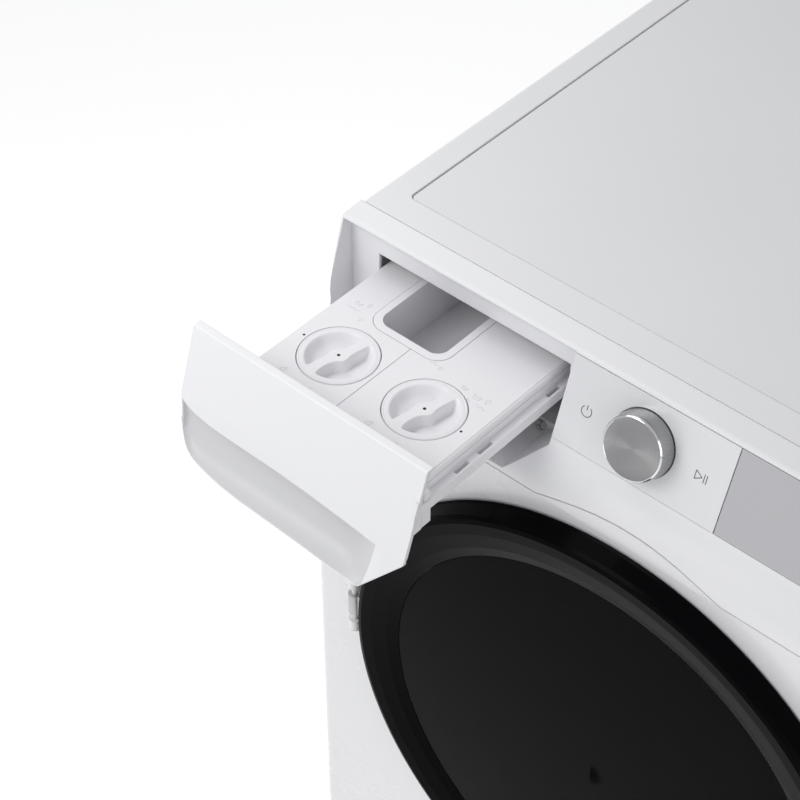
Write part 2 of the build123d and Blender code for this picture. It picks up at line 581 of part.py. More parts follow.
# ================================================================ door
with BuildPart() as door_ring:
    spun([(-0.9, 241.2), (-2.2, 242.0), (-4.0, 240.6), (-15.2, 237.6), (-18.0, 235.6), (DOOR_FRONT, 232.0),
          (-17.6, 222.0), (-14.2, 208.0), (-10.6, 198.2), (-7.6, 198.2), (-11.6, 209.0), (-14.8, 223.0), (-15.6, 231.6),
          (-13.6, 234.4), (-3.6, 237.2), (-0.9, 237.4)])
    panel([(40, 484), (75, 484), (75, 508), (40, 508)], -9.6, -1.8, Mode.SUBTRACT)
door_ring.part.label = "door_ring"
export_step(door_ring.part, "parts/door_ring.step")

with BuildPart() as door_window:
    spun([(-10.4, 0), (-13.2, 0), (-13.0, 60), (-12.3, 120), (-11.2, 170), (-10.4, 197.6), (-7.2, 197.6), (-8.4, 170), (-9.6, 120), (-10.2, 60)])
door_window.part.label = "door_window"
export_step(door_window.part, "parts/door_window.step")

with BuildPart() as door_inner_frame:
    spun([(-1.2, 166.6), (-1.2, 236.6), (-3.4, 236.6), (-3.4, 232.0), (-3.0, 166.6)])
    spun([(-1.2, 159.5), (-1.2, 166.7), (-3.0, 166.7), (-5.0, 175), (-5.0, 190), (-6.7, 190), (-6.7, 174), (-4.4, 165.2), (-4.4, 159.5)])
    panel([(40, 482), (100, 482), (100, 510), (40, 510)], -12, 0, Mode.SUBTRACT)
    panel([(516, 484), (534, 484), (534, 508), (516, 508)], -8, 1, Mode.SUBTRACT)
    with BuildSketch(put(525, -5.0, 483, (0, 0, 1))) as latch_pivot:
        Circle(1.5)
    extrude(latch_pivot.sketch, amount=26)
    for bz in (480, 508):
        slab(521.5, 528.5, -6.8, -1.2, bz, bz + 4)
door_inner_frame.part.label = "door_inner_frame"
export_step(door_inner_frame.part, "parts/door_inner_frame.step")

with BuildPart() as door_glass_bowl:
    spun([(0.0, 159.0), (0.0, 150.0), (20, 146), (62, 128), (80, 112), (86, 90), (88, 0), (83, 0), (81, 88), (76, 108), (59, 123.6), (17, 141), (-3.9, 146), (-3.9, 159.0)])
door_glass_bowl.part.label = "door_glass_bowl"
export_step(door_glass_bowl.part, "parts/door_glass_bowl.step")

with BuildPart() as door_hinge_bracket:
    for k0, k1 in ((464, 476), (516, 528)):
        with BuildSketch(put(HINGE_X, HINGE_Y, k0, (0, 0, 1))) as knuckle:
            Circle(5.4)
            with Locations((0, 5.2)):
                Rectangle(8, 7.2)
            Circle(2.5, mode=Mode.SUBTRACT)
        extrude(knuckle.sketch, amount=k1 - k0)
    slab(30, 72, 1.6, 4.0, 440, 552)
    for hz in (450, 542):
        rod(38, hz, 3, -2, 6, Mode.SUBTRACT)
    fillet(door_hinge_bracket.edges().filter_by(Axis.Y).group_by(Axis.Z)[-1], 3)
door_hinge_bracket.part.label = "door_hinge_bracket"
export_step(door_hinge_bracket.part, "parts/door_hinge_bracket.step")

with BuildPart() as door_hinge_pin:
    with BuildSketch(put(HINGE_X, HINGE_Y, 461.5, (0, 0, 1))) as pin_section:
        Circle(2.5)
    extrude(pin_section.sketch, amount=69)
    with BuildSketch(put(HINGE_X, HINGE_Y, 528.05, (0, 0, 1))) as pin_head:
        Circle(4.2)
    extrude(pin_head.sketch, amount=2.4)
door_hinge_pin.part.label = "door_hinge_pin"
export_step(door_hinge_pin.part, "parts/door_hinge_pin.step")

with BuildPart() as door_hinge_arm:
    with BuildSketch(put(HINGE_X, HINGE_Y, 485, (0, 0, 1))) as arm_knuckle:
        Circle(5.4)
        with Locations((14, 0.4)):
            Rectangle(28, 5.0)
        Circle(2.56, mode=Mode.SUBTRACT)
    extrude(arm_knuckle.sketch, amount=22)
    slab(70, 98.5, -6.9, -3.9, 483, 509)
    slab(97.0, 109.0, -6.9, -4.4, 468, 524)
    for hz in (475, 517):
        rod(103, hz, 2.2, -10, 0, Mode.SUBTRACT)
door_hinge_arm.part.label = "door_hinge_arm"
export_step(door_hinge_arm.part, "parts/door_hinge_arm.step")

# Latch: the hook pivots on a pin inside the door's free side.
with BuildPart() as latch_hook:
    with BuildSketch(put(525, -5.0, 488, (0, 0, 1))) as hook_outline:
        Circle(3.2)
        with Locations((0, 9.0)):
            Rectangle(4.0, 18)
        with Locations((2.6, 16.6)):
            Rectangle(6.4, 3.4)
        Circle(1.56, mode=Mode.SUBTRACT)
    extrude(hook_outline.sketch, amount=16)
latch_hook.part.label = "latch_hook"
export_step(latch_hook.part, "parts/latch_hook.step")

with BuildPart() as door_lock:
    slab(506, 556, 4.6, 34, 466, 526)
    slab(511, 541, 2, 28, 478, 514, Mode.SUBTRACT)
    slab(508, 554, 2.0, 4.8, 462, 530)
    slab(512, 540, 0, 6, 479, 513, Mode.SUBTRACT)
door_lock.part.label = "door_lock"
export_step(door_lock.part, "parts/door_lock.step")

# ================================================================ tub and gasket
with BuildPart() as door_gasket:
    spun([(1.6, 188.2), (1.6, 194), (4.4, 194), (4.4, 190.2), (18.6, 188.6), (30, 184.0), (36, 176.0), (46, 178.0),
          (58.6, 178.0), (58.6, 173.4), (44, 173.0), (38, 166), (30, 160.0), (22, 160.0), (18, 168), (18.2, 180.6), (18.2, 185.6), (17.0, 187.0)])
door_gasket.part.label = "door_gasket"
export_step(door_gasket.part, "parts/door_gasket.step")

with BuildPart() as tub_front:
    spun([(44.5, 169.4), (44.5, 172.4), (62, 172.8), (62, TUB_R), (TUB_SPLIT, TUB_R), (TUB_SPLIT, TUB_R - 4), (65, TUB_R - 4), (65, 169.4)])
    spun([(240, TUB_R), (TUB_SPLIT, TUB_R), (TUB_SPLIT, TUB_R + 3.5), (240, TUB_R + 3.5)])
tub_front.part.label = "tub_front"
export_step(tub_front.part, "parts/tub_front.step")

with BuildPart() as tub_rear:
    spun([(TUB_SPLIT + 2, TUB_R - 4), (TUB_SPLIT + 2, TUB_R + 3.5), (TUB_SPLIT + 12, TUB_R + 3.5), (TUB_SPLIT + 12, TUB_R),
          (TUB_Y1, TUB_R), (TUB_Y1, 48), (538, 44), (538, 36.05), (466, 36.05), (466, TUB_R - 4)])
    for k in range(8):
        a = math.radians(22.5 + 45 * k)
        with BuildSketch(facing(478)) as rib:
            with Locations((MID_X + 146 * math.cos(a), AXIS_Z + 146 * math.sin(a))):
                Rectangle(184, 5, rotation=math.degrees(a))
        extrude(rib.sketch, amount=9)
    rod(MID_X, AXIS_Z, 36.05, 460, 545, Mode.SUBTRACT)
    # suspension and damper lugs, sump outlet
    for lx in (118, 482):
        slab(lx - 6, lx + 6, 388, 412, 655, 690)
    for lx in (196, 404):
        slab(lx - 7, lx + 7, 330, 350, 262, 284)
    post(360, 300, 19, 228, 262)
    post(360, 300, 16, 220, 262, Mode.SUBTRACT)
    spun([(TUB_SPLIT + 14, 0), (TUB_SPLIT + 14, TUB_R - 4), (465.9, TUB_R - 4), (465.9, 0)], mode=Mode.SUBTRACT)
    slab(260, 340, 420, 464, 247, 252.6, Mode.SUBTRACT)
tub_rear.part.label = "tub_rear"
export_step(tub_rear.part, "parts/tub_rear.step")

with BuildPart() as front_counterweight:
    with BuildSketch(facing(58)) as weight_outline:
        with Locations((MID_X, AXIS_Z)):
            Circle(240)
            Circle(186, mode=Mode.SUBTRACT)
        with Locations((MID_X, AXIS_Z + 200)):
            Rectangle(300, 300, mode=Mode.SUBTRACT)
        with Locations((MID_X, AXIS_Z - 200)):
            Rectangle(40, 200, mode=Mode.SUBTRACT)
    extrude(weight_outline.sketch, amount=22)
    for a in (160, 200, 240, 300, 340, 20):
        rod(MID_X + 213 * math.cos(math.radians(a)), AXIS_Z + 213 * math.sin(math.radians(a)), 5, 30, 62, Mode.SUBTRACT)
front_counterweight.part.label = "front_counterweight"
export_step(front_counterweight.part, "parts/front_counterweight.step")

with BuildPart() as suspension_springs:
    for sx, tx in ((62, 112), (538, 488)):
        dx, dz = tx - sx, 690.0 - 800.0
        ln = math.hypot(dx, dz)
        with BuildSketch(put(sx, 400, 800, (dx / ln, 0, dz / ln), (0, 1, 0)).offset(6)) as coil:
            Circle(12)
            Circle(9, mode=Mode.SUBTRACT)
        extrude(coil.sketch, amount=ln - 16)
suspension_springs.part.label = "suspension_springs"
export_step(suspension_springs.part, "parts/suspension_springs.step")

with BuildPart() as shock_absorbers:
    for bx, tx in ((150, 194), (450, 406)):
        dx, dz = tx - bx, 258.0 - 46.0
        ln = math.hypot(dx, dz)
        base_plane = put(bx, 340, 46, (dx / ln, 0, dz / ln), (0, 1, 0))
        with BuildSketch(base_plane) as damper_tube:
            Circle(13)
        extrude(damper_tube.sketch, amount=ln * 0.58)
        with BuildSketch(base_plane.offset(ln * 0.5)) as damper_rod:
            Circle(5)
        extrude(damper_rod.sketch, amount=ln * 0.5)
shock_absorbers.part.label = "shock_absorbers"
export_step(shock_absorbers.part, "parts/shock_absorbers.step")

with BuildPart() as drum_bearings:
    for b0, b1 in ((472, 490), (518, 534)):
        spun([(b0, 17.55), (b1, 17.55), (b1, 36.0), (b0, 36.0)])
drum_bearings.part.label = "drum_bearings"
export_step(drum_bearings.part, "parts/drum_bearings.step")

# ================================================================ drum group
with BuildPart() as drum_shell:
    # one closed wall: rolled mouth, cylinder, dished back
    spun([(DRUM_Y0, 178.6), (DRUM_Y0, 216), (92, DRUM_R), (DRUM_Y1, DRUM_R), (DRUM_Y1, 149), (DRUM_Y1 - 8, 119), (DRUM_Y1 - 8, 0),
          (DRUM_Y1 - 10, 0), (DRUM_Y1 - 10, 120), (DRUM_Y1 - 2, 150), (DRUM_Y1 - 2, DRUM_R - 1.2), (92.6, DRUM_R - 1.2),
          (79.4, 215.4), (79.4, 181), (88, 179.8), (88, 178.6)])
drum_shell.part.label = "drum_shell"
export_step(drum_shell.part, "parts/drum_shell.step")

with BuildPart() as drum_paddles:
    for a in (90, 210, 330):
        ca, sa = math.cos(math.radians(a)), math.sin(math.radians(a))
        plane_a = Plane(origin=((DRUM_R - 4.4) * ca, 105 - MID_Y, AXIS_Z + (DRUM_R - 4.4) * sa), x_dir=(-sa, 0, ca), z_dir=(0, 1, 0))
        side = 1 if (Vector(*plane_a.y_dir).X * ca + Vector(*plane_a.y_dir).Z * sa) < 0 else -1
        with BuildSketch(plane_a) as paddle_section:
            with BuildLine():
                Polyline((-38, 0), (-30, 8 * side), (-16, 34 * side), (-7, 40 * side), (7, 40 * side), (16, 34 * side), (30, 8 * side), (38, 0), close=True)
            make_face()
        extrude(paddle_section.sketch, amount=318)
drum_paddles.part.label = "drum_paddles"
export_step(drum_paddles.part, "parts/drum_paddles.step")

with BuildPart() as drum_spider:
    rod(MID_X, AXIS_Z, 34, 446, 462)
    for a in (90, 210, 330):
        with BuildSketch(facing(461)) as spider_arm:
            with Locations((MID_X + 110 * math.cos(math.radians(a)), AXIS_Z + 110 * math.sin(math.radians(a)))):
                Rectangle(204, 34, rotation=a)
        extrude(spider_arm.sketch, amount=15)
    rod(MID_X, AXIS_Z, 20.0, 440, 470, Mode.SUBTRACT)
drum_spider.part.label = "drum_spider"
export_step(drum_spider.part, "parts/drum_spider.step")

with BuildPart() as drive_shaft:
    rod(MID_X, AXIS_Z, 20.0, 446.2, 463)
    rod(MID_X, AXIS_Z, 22.0, 463, 471.8)
    rod(MID_X, AXIS_Z, 17.5, 471.8, 547)
    rod(MID_X, AXIS_Z, 12.5, 547, 572)
drive_shaft.part.label = "drive_shaft"
export_step(drive_shaft.part, "parts/drive_shaft.step")

with BuildPart() as drum_pulley:
    spun([(PULLEY_Y0, 126), (PULLEY_Y0, PULLEY_R), (PULLEY_Y1, PULLEY_R), (PULLEY_Y1, 126)])
    rod(MID_X, AXIS_Z, 30, PULLEY_Y0 + 0.5, PULLEY_Y1 - 1)
    for k in range(6):
        a = 30 + 60 * k
        with BuildSketch(facing(562)) as spoke:
            with Locations((MID_X + 78 * math.cos(math.radians(a)), AXIS_Z + 78 * math.sin(math.radians(a)))):
                Rectangle(106, 20, rotation=a)
        extrude(spoke.sketch, amount=9)
    rod(MID_X, AXIS_Z, 12.5, 540, 580, Mode.SUBTRACT)
drum_pulley.part.label = "drum_pulley"
export_step(drum_pulley.part, "parts/drum_pulley.step")

with BuildPart() as drive_motor:
    rod(MID_X, MOTOR_Z, MOTOR_R, 400, 536)
    rod(MID_X, MOTOR_Z, 22, 536, 544)
    rod(MID_X, MOTOR_Z, 8.2, 480, 550, Mode.SUBTRACT)
    slab(MID_X - 80, MID_X + 80, 415, 435, MOTOR_Z - 8, MOTOR_Z + 8)
    slab(MID_X - 80, MID_X + 80, 500, 520, MOTOR_Z - 8, MOTOR_Z + 8)
    rod(MID_X, MOTOR_Z, 8.2, 480, 550, Mode.SUBTRACT)
drive_motor.part.label = "drive_motor"
export_step(drive_motor.part, "parts/drive_motor.step")

with BuildPart() as motor_pulley:
    rod(MID_X, MOTOR_Z, MOTOR_PULLEY_R, PULLEY_Y0 - 2, PULLEY_Y1)
    rod(MID_X, MOTOR_Z, 8.1, 485, PULLEY_Y0)
    rod(MID_X, MOTOR_Z, 12.5, PULLEY_Y1, PULLEY_Y1 + 2)
motor_pulley.part.label = "motor_pulley"
export_step(motor_pulley.part, "parts/motor_pulley.step")

with BuildPart() as drive_belt:
    with BuildSketch(facing(PULLEY_Y1 - 1)) as belt_outer:
        with Locations((MID_X, AXIS_Z)):
            Circle(PULLEY_R + 4.4)
        with Locations((MID_X, MOTOR_Z)):
            Circle(MOTOR_PULLEY_R + 4.4)
        make_hull()
    extrude(belt_outer.sketch, amount=15)
    with BuildSketch(facing(PULLEY_Y1 + 2)) as belt_inner:
        with Locations((MID_X, AXIS_Z)):
            Circle(PULLEY_R + 0.4)
        with Locations((MID_X, MOTOR_Z)):
            Circle(MOTOR_PULLEY_R + 0.4)
        make_hull()
    extrude(belt_inner.sketch, amount=24, mode=Mode.SUBTRACT)
drive_belt.part.label = "drive_belt"
export_step(drive_belt.part, "parts/drive_belt.step")

with BuildPart() as heater:
    for hx in (278, 300, 322):
        rod(hx, 260.2, 2.5, 330, 462)
    slab(274, 326, 456, 465.6, 257.8, 262.8)
    slab(276, 324, 328, 334, 258.2, 262.2)
heater.part.label = "heater"
export_step(heater.part, "parts/heater.step")

# ================================================================ water and drain
with BuildPart() as water_inlet_valve:
    slab(496, 544, 540, 587.6, 756, 804)
    rod(520, 780, 14.5, 587, 589.6)
    rod(520, 780, 13.1, 587, 604)
    rod(520, 780, 9.0, 592, 606, Mode.SUBTRACT)
    rod(508, 792, 7, 500, 541)
    rod(532, 792, 7, 500, 541)
water_inlet_valve.part.label = "water_inlet_valve"
export_step(water_inlet_valve.part, "parts/water_inlet_valve.step")

with BuildPart() as drain_outlet:
    rod(80, 760, 16, 580, 587.6)
    rod(80, 760, 12.2, 587, 590)
    rod(80, 760, 10.5, 570, 603.6)
    rod(80, 760, 8.0, 560, 610, Mode.SUBTRACT)
drain_outlet.part.label = "drain_outlet"
export_step(drain_outlet.part, "parts/drain_outlet.step")

with BuildPart() as power_inlet:
    rod(60, 120, 9.0, 578, 600)
    rod(60, 120, 12, 589.2, 592)
    slab(46, 74, 566, 587.8, 104, 136)
    rod(60, 120, 4.0, 575, 610, Mode.SUBTRACT)
power_inlet.part.label = "power_inlet"
export_step(power_inlet.part, "parts/power_inlet.step")

with BuildPart() as filter_bezel:
    slab(36, 194, 1.5, 3.3, 30, 142)
    slab(41, 189, 0, 5, 34.0, 135.6, Mode.SUBTRACT)
    slab(40.35, 189.65, 0, 5, 34.0, 46.0, Mode.SUBTRACT)
    # hinge ears: a block behind each side bar, then a round ear inside the flap's sweep
    for ex0, ex1, bx0, bx1 in ((36.6, 44.5, 36.6, 40.3), (185.5, 193.4, 189.7, 193.4)):
        slab(bx0, bx1, 3.2, 9.0, 35.5, 44.5)
        with BuildSketch(across(ex0)) as ear:
            with Locations((5.2, 40)):
                Circle(3.4)
        extrude(ear.sketch, amount=ex1 - ex0)
    with BuildSketch(across(34)) as bezel_bore:
        with Locations((5.2, 40)):
            Circle(2.0)
    extrude(bezel_bore.sketch, amount=162, mode=Mode.SUBTRACT)
filter_bezel.part.label = "filter_bezel"
export_step(filter_bezel.part, "parts/filter_bezel.step")

with BuildPart() as filter_flap:
    slab(40.7, 189.3, 0.1, 1.4, 37.4, 135.2)
    slab(46, 184, 0.1, 2.6, 46.5, 131)
    for ex in (52, 170):
        with BuildSketch(across(ex)) as flap_lug:
            with Locations((5.2, 40)):
                Circle(3.6)
            with Locations((2.8, 42.5)):
                Rectangle(4.4, 8)
        extrude(flap_lug.sketch, amount=8)
    for px0, px1 in ((41.4, 52.1), (177.9, 188.6)):
        with BuildSketch(across(px0)) as stub_pin:
            with Locations((5.2, 40)):
                Circle(1.95)
        extrude(stub_pin.sketch, amount=px1 - px0)
filter_flap.part.label = "filter_flap"
export_step(filter_flap.part, "parts/filter_flap.step")

with BuildPart() as filter_cap:
    rod(115, 88, 30, 20, 32)
    with BuildSketch(facing(20.5)) as grip:
        with Locations((115, 88)):
            RectangleRounded(52, 9, 3)
    extrude(grip.sketch, amount=8.5)
    rod(115, 88, 24, 32, 90)
    rod(115, 88, 21, 34, 95, Mode.SUBTRACT)
filter_cap.part.label = "filter_cap"
export_step(filter_cap.part, "parts/filter_cap.step")

with BuildPart() as drain_pump:
    rod(115, 88, 31, 32.5, 104)
    rod(115, 88, 24.5, 30, 100, Mode.SUBTRACT)
    rod(115, 88, 40, 104, 140)
    rod(115, 88, 36, 107, 137, Mode.SUBTRACT)
    rod(115, 88, 12, 99, 108, Mode.SUBTRACT)
    rod(115, 88, 28, 140, 196)
    rod(115, 88, 3.06, 136, 180, Mode.SUBTRACT)
    slab(85, 145, 60, 96, 46, 58.5)
    rod(115, 88, 24.5, 30, 100, Mode.SUBTRACT)
drain_pump.part.label = "drain_pump"
export_step(drain_pump.part, "parts/drain_pump.step")

with BuildPart() as pump_impeller:
    rod(115, 88, 9, 112, 134)
    for k in range(3):
        with BuildSketch(facing(133)) as vane:
            with Locations((115, 88)):
                Rectangle(60, 3, rotation=60 * k)
        extrude(vane.sketch, amount=20)
    rod(115, 88, 3.0, 134, 175)
pump_impeller.part.label = "pump_impeller"
export_step(pump_impeller.part, "parts/pump_impeller.step")

with BuildPart() as sump_hose:
    post(360, 300, 17, 120, 227.6)
    with BuildSketch(across(190)) as hose_low:
        with Locations((300, 137)):
            Circle(14.5)
    extrude(hose_low.sketch, amount=165)
sump_hose.part.label = "sump_hose"
export_step(sump_hose.part, "parts/sump_hose.step")
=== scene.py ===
import bpy
import bmesh
import json
import math
import numpy as np
from mathutils import Matrix, Vector


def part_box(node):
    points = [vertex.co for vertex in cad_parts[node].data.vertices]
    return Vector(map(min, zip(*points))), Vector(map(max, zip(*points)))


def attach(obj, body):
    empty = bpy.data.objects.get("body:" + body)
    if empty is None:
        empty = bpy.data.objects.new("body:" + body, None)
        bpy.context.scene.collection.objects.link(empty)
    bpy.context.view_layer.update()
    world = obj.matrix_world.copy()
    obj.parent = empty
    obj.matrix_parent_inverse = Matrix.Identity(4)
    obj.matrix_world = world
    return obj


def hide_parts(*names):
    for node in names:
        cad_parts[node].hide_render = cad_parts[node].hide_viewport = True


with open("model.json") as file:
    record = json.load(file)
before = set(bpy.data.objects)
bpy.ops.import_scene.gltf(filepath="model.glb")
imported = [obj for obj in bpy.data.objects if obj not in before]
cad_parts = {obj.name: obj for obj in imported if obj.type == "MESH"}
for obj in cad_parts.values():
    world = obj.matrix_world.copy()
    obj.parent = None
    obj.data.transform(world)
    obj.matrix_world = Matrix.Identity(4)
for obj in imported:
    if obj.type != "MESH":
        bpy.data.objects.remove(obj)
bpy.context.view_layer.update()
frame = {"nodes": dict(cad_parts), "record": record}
NODES = frame["nodes"]

# Appliance millimetres (X from the left side, Y from the lower front face, Z from the floor) to the row frame.
MY = 589.0 - 1000.0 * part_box("rear_panel")[1].y
OUT = -153.0                      # the drawer stands this far out at rest


def P(x, y, z):
    return Vector(((x - 300.0) / 1000.0, (y - MY) / 1000.0, z / 1000.0))


TILT = math.atan2(42.2 - 20.0, 846.0 - 779.5)
NORMAL = Vector((0.0, -math.cos(TILT), math.sin(TILT)))
UP_FACE = Vector((0.0, math.sin(TILT), math.cos(TILT)))


def face_y(z):
    return 20.0 + (z - 779.5) * (42.2 - 20.0) / (846.0 - 779.5)


# ------------------------------------------------------------------ materials
def nodes_of(m):
    m.use_nodes = True
    nt = m.node_tree
    nt.nodes.clear()
    out = nt.nodes.new("ShaderNodeOutputMaterial")
    sh = nt.nodes.new("ShaderNodeBsdfPrincipled")
    nt.links.new(sh.outputs["BSDF"], out.inputs["Surface"])
    return nt, sh


def noise(nt, coord, scale, detail=3.0, rough=0.5, stretch=None, dist=0.0):
    n = nt.nodes.new("ShaderNodeTexNoise")
    n.inputs["Scale"].default_value = scale
    n.inputs["Detail"].default_value = detail
    n.inputs["Roughness"].default_value = rough
    n.inputs["Distortion"].default_value = dist
    if stretch:
        mp = nt.nodes.new("ShaderNodeMapping")
        mp.inputs["Scale"].default_value = stretch
        nt.links.new(coord, mp.inputs["Vector"])
        coord = mp.outputs["Vector"]
    nt.links.new(coord, n.inputs["Vector"])
    return n.outputs["Fac"]


def span(nt, fac, lo, hi, f0=0.3, f1=0.7):
    m = nt.nodes.new("ShaderNodeMapRange")
    m.inputs["From Min"].default_value = f0
    m.inputs["From Max"].default_value = f1
    m.inputs["To Min"].default_value = lo
    m.inputs["To Max"].default_value = hi
    nt.links.new(fac, m.inputs["Value"])
    return m.outputs["Result"]


def two_tone(nt, fac, a, b):
    r = nt.nodes.new("ShaderNodeValToRGB")
    r.color_ramp.elements[0].position = 0.32
    r.color_ramp.elements[0].color = (*a, 1)
    r.color_ramp.elements[1].position = 0.68
    r.color_ramp.elements[1].color = (*b, 1)
    nt.links.new(fac, r.inputs["Fac"])
    return r.outputs["Color"]


def shade(c, k):
    return tuple(max(0.0, min(1.0, v * k)) for v in c)


def surface(name, colour, rough, metal=0.0, vary=0.03, patch=7.0, rough_var=0.05, grain=900.0, bump=0.05, depth=0.00012,
            bevel=0.0006, coat=0.0, coat_rough=0.1, ior=1.46, spec=0.5, stretch=None, aniso=0.0, speck=None, detail=3.0,
            transmission=0.0, sheen=0.0, sss=0.0):
    m = bpy.data.materials.new(name)
    nt, sh = nodes_of(m)
    tc = nt.nodes.new("ShaderNodeTexCoord").outputs["Object"]
    base = two_tone(nt, noise(nt, tc, patch, 4.0), shade(colour, 1 - vary), shade(colour, 1 + vary))
    if speck:
        fine = noise(nt, tc, speck[0], 2.0)
        mix = nt.nodes.new("ShaderNodeMix")
        mix.data_type = "RGBA"
        nt.links.new(span(nt, fine, 0.0, speck[1], 0.5, 0.72), mix.inputs["Factor"])
        nt.links.new(base, mix.inputs[6])
        mix.inputs[7].default_value = (*speck[2], 1)
        base = mix.outputs[2]
    nt.links.new(base, sh.inputs["Base Color"])
    nt.links.new(span(nt, noise(nt, tc, patch * 5, 5.0, 0.6), max(0.0, rough - rough_var), rough + rough_var), sh.inputs["Roughness"])
    sh.inputs["Metallic"].default_value = metal
    sh.inputs["IOR"].default_value = ior
    sh.inputs["Specular IOR Level"].default_value = spec
    sh.inputs["Coat Weight"].default_value = coat
    sh.inputs["Coat Roughness"].default_value = coat_rough
    sh.inputs["Anisotropic"].default_value = aniso
    sh.inputs["Transmission Weight"].default_value = transmission
    sh.inputs["Sheen Weight"].default_value = sheen
    if sss:
        sh.inputs["Subsurface Weight"].default_value = sss
        sh.inputs["Subsurface Radius"].default_value = (0.003, 0.003, 0.003)
        sh.inputs["Subsurface Scale"].default_value = 1.0
    b = nt.nodes.new("ShaderNodeBump")
    b.inputs["Strength"].default_value = bump
    b.inputs["Distance"].default_value = depth
    nt.links.new(noise(nt, tc, grain, detail, 0.55, stretch), b.inputs["Height"])
    if bevel:
        bv = nt.nodes.new("ShaderNodeBevel")
        bv.inputs["Radius"].default_value = bevel
        nt.links.new(bv.outputs["Normal"], b.inputs["Normal"])
    nt.links.new(b.outputs["Normal"], sh.inputs["Normal"])
    return m


M = {}
M["white_enamel"] = surface("white_enamel", (0.76, 0.76, 0.775), 0.27, vary=0.005, patch=3.0, rough_var=0.012, grain=420, bump=0.10, depth=0.00006, coat=0.35, coat_rough=0.12, bevel=0.0008)
M["worktop_laminate"] = surface("worktop_laminate", (0.74, 0.745, 0.76), 0.38, vary=0.015, patch=4.0, rough_var=0.05, grain=1500, bump=0.22, depth=0.00008, speck=(2600, 0.25, (0.66, 0.67, 0.69)), bevel=0.0006)
M["white_plastic"] = surface("white_plastic", (0.77, 0.772, 0.79), 0.30, vary=0.005, patch=4.0, rough_var=0.015, grain=1300, bump=0.10, depth=0.00005, coat=0.2, coat_rough=0.18, bevel=0.0009)
M["tray_plastic"] = surface("tray_plastic", (0.80, 0.795, 0.82), 0.36, vary=0.012, patch=9.0, rough_var=0.05, grain=1700, bump=0.15, depth=0.00005, bevel=0.0007)
M["panel_silver"] = surface("panel_silver", (0.74, 0.745, 0.76), 0.30, metal=0.12, vary=0.012, patch=5.0, rough_var=0.04, grain=2400, bump=0.12, depth=0.00004, speck=(5200, 0.35, (0.80, 0.80, 0.82)), bevel=0.0004)
M["display_smoke"] = surface("display_smoke", (0.45, 0.45, 0.47), 0.12, vary=0.02, patch=5.0, rough_var=0.03, grain=600, bump=0.03, depth=0.00003, coat=0.6, coat_rough=0.04, bevel=0.0004)
M["spun_aluminium"] = surface("spun_aluminium", (0.38, 0.38, 0.385), 0.26, metal=1.0, vary=0.03, patch=60.0, rough_var=0.04, grain=2600, bump=0.12, depth=0.00003, bevel=0.0004)
M["black_gloss"] = surface("black_gloss", (0.002, 0.002, 0.0025), 0.20, vary=0.1, patch=6.0, rough_var=0.02, grain=500, bump=0.02, depth=0.00004, ior=1.14, spec=0.2, bevel=0.0008)
M["smoked_window"] = surface("smoked_window", (0.008, 0.008, 0.010), 0.04, vary=0.05, patch=5.0, rough_var=0.015, grain=60, bump=0.015, depth=0.00005, transmission=0.8, ior=1.09, spec=0.2, bevel=0)
M["clear_glass"] = surface("clear_glass", (0.90, 0.93, 0.93), 0.03, vary=0.01, patch=9.0, rough_var=0.02, grain=35, bump=0.05, depth=0.0002, transmission=1.0, ior=1.5, bevel=0)
M["grey_plastic"] = surface("grey_plastic", (0.30, 0.30, 0.31), 0.45, vary=0.06, patch=15.0, rough_var=0.06, grain=1200, bump=0.22, depth=0.00008, bevel=0.0007)
M["galvanised"] = surface("galvanised", (0.58, 0.59, 0.60), 0.38, metal=0.85, vary=0.13, patch=55.0, rough_var=0.09, grain=300, bump=0.10, depth=0.00006, bevel=0.0005)
M["stainless"] = surface("stainless", (0.62, 0.62, 0.63), 0.24, metal=1.0, vary=0.05, patch=25.0, rough_var=0.06, grain=900, stretch=(1.0, 0.06, 1.0), bump=0.15, depth=0.00004, aniso=0.35, bevel=0.0004)
M["die_cast"] = surface("die_cast", (0.50, 0.50, 0.51), 0.48, metal=0.9, vary=0.09, patch=40.0, rough_var=0.08, grain=700, bump=0.4, depth=0.00015, bevel=0.001)
M["gasket_rubber"] = surface("gasket_rubber", (0.19, 0.19, 0.20), 0.58, vary=0.07, patch=12.0, rough_var=0.07, grain=800, bump=0.3, depth=0.0001, bevel=0.0008)
M["black_rubber"] = surface("black_rubber", (0.018, 0.018, 0.019), 0.62, vary=0.15, patch=14.0, rough_var=0.08, grain=700, bump=0.35, depth=0.00012, bevel=0.0007)
M["concrete"] = surface("concrete", (0.36, 0.355, 0.34), 0.85, vary=0.16, patch=45.0, rough_var=0.08, grain=260, bump=0.8, depth=0.0005, speck=(420, 0.5, (0.22, 0.215, 0.205)), bevel=0.0015, detail=6.0)
M["motor_case"] = surface("motor_case", (0.09, 0.09, 0.095), 0.42, metal=0.3, vary=0.1, patch=25.0, rough_var=0.06, grain=500, bump=0.25, depth=0.0001, bevel=0.0008)
M["board_green"] = surface("board_green", (0.02, 0.11, 0.05), 0.35, vary=0.15, patch=120.0, rough_var=0.06, grain=900, bump=0.2, depth=0.0001, bevel=0.0003)
M["valve_white"] = surface("valve_white", (0.68, 0.68, 0.64), 0.42, vary=0.04, patch=25.0, rough_var=0.05, grain=1200, bump=0.2, depth=0.00008, bevel=0.0006)
# dark grey for the printed panel marks, also used as the painted shadow ring at the dial's base
PRINT_AND_SHADOW_INK = surface("print_and_shadow_grey", (0.10, 0.10, 0.11), 0.5, vary=0.08, patch=300.0, grain=3000, bump=0.05, bevel=0)
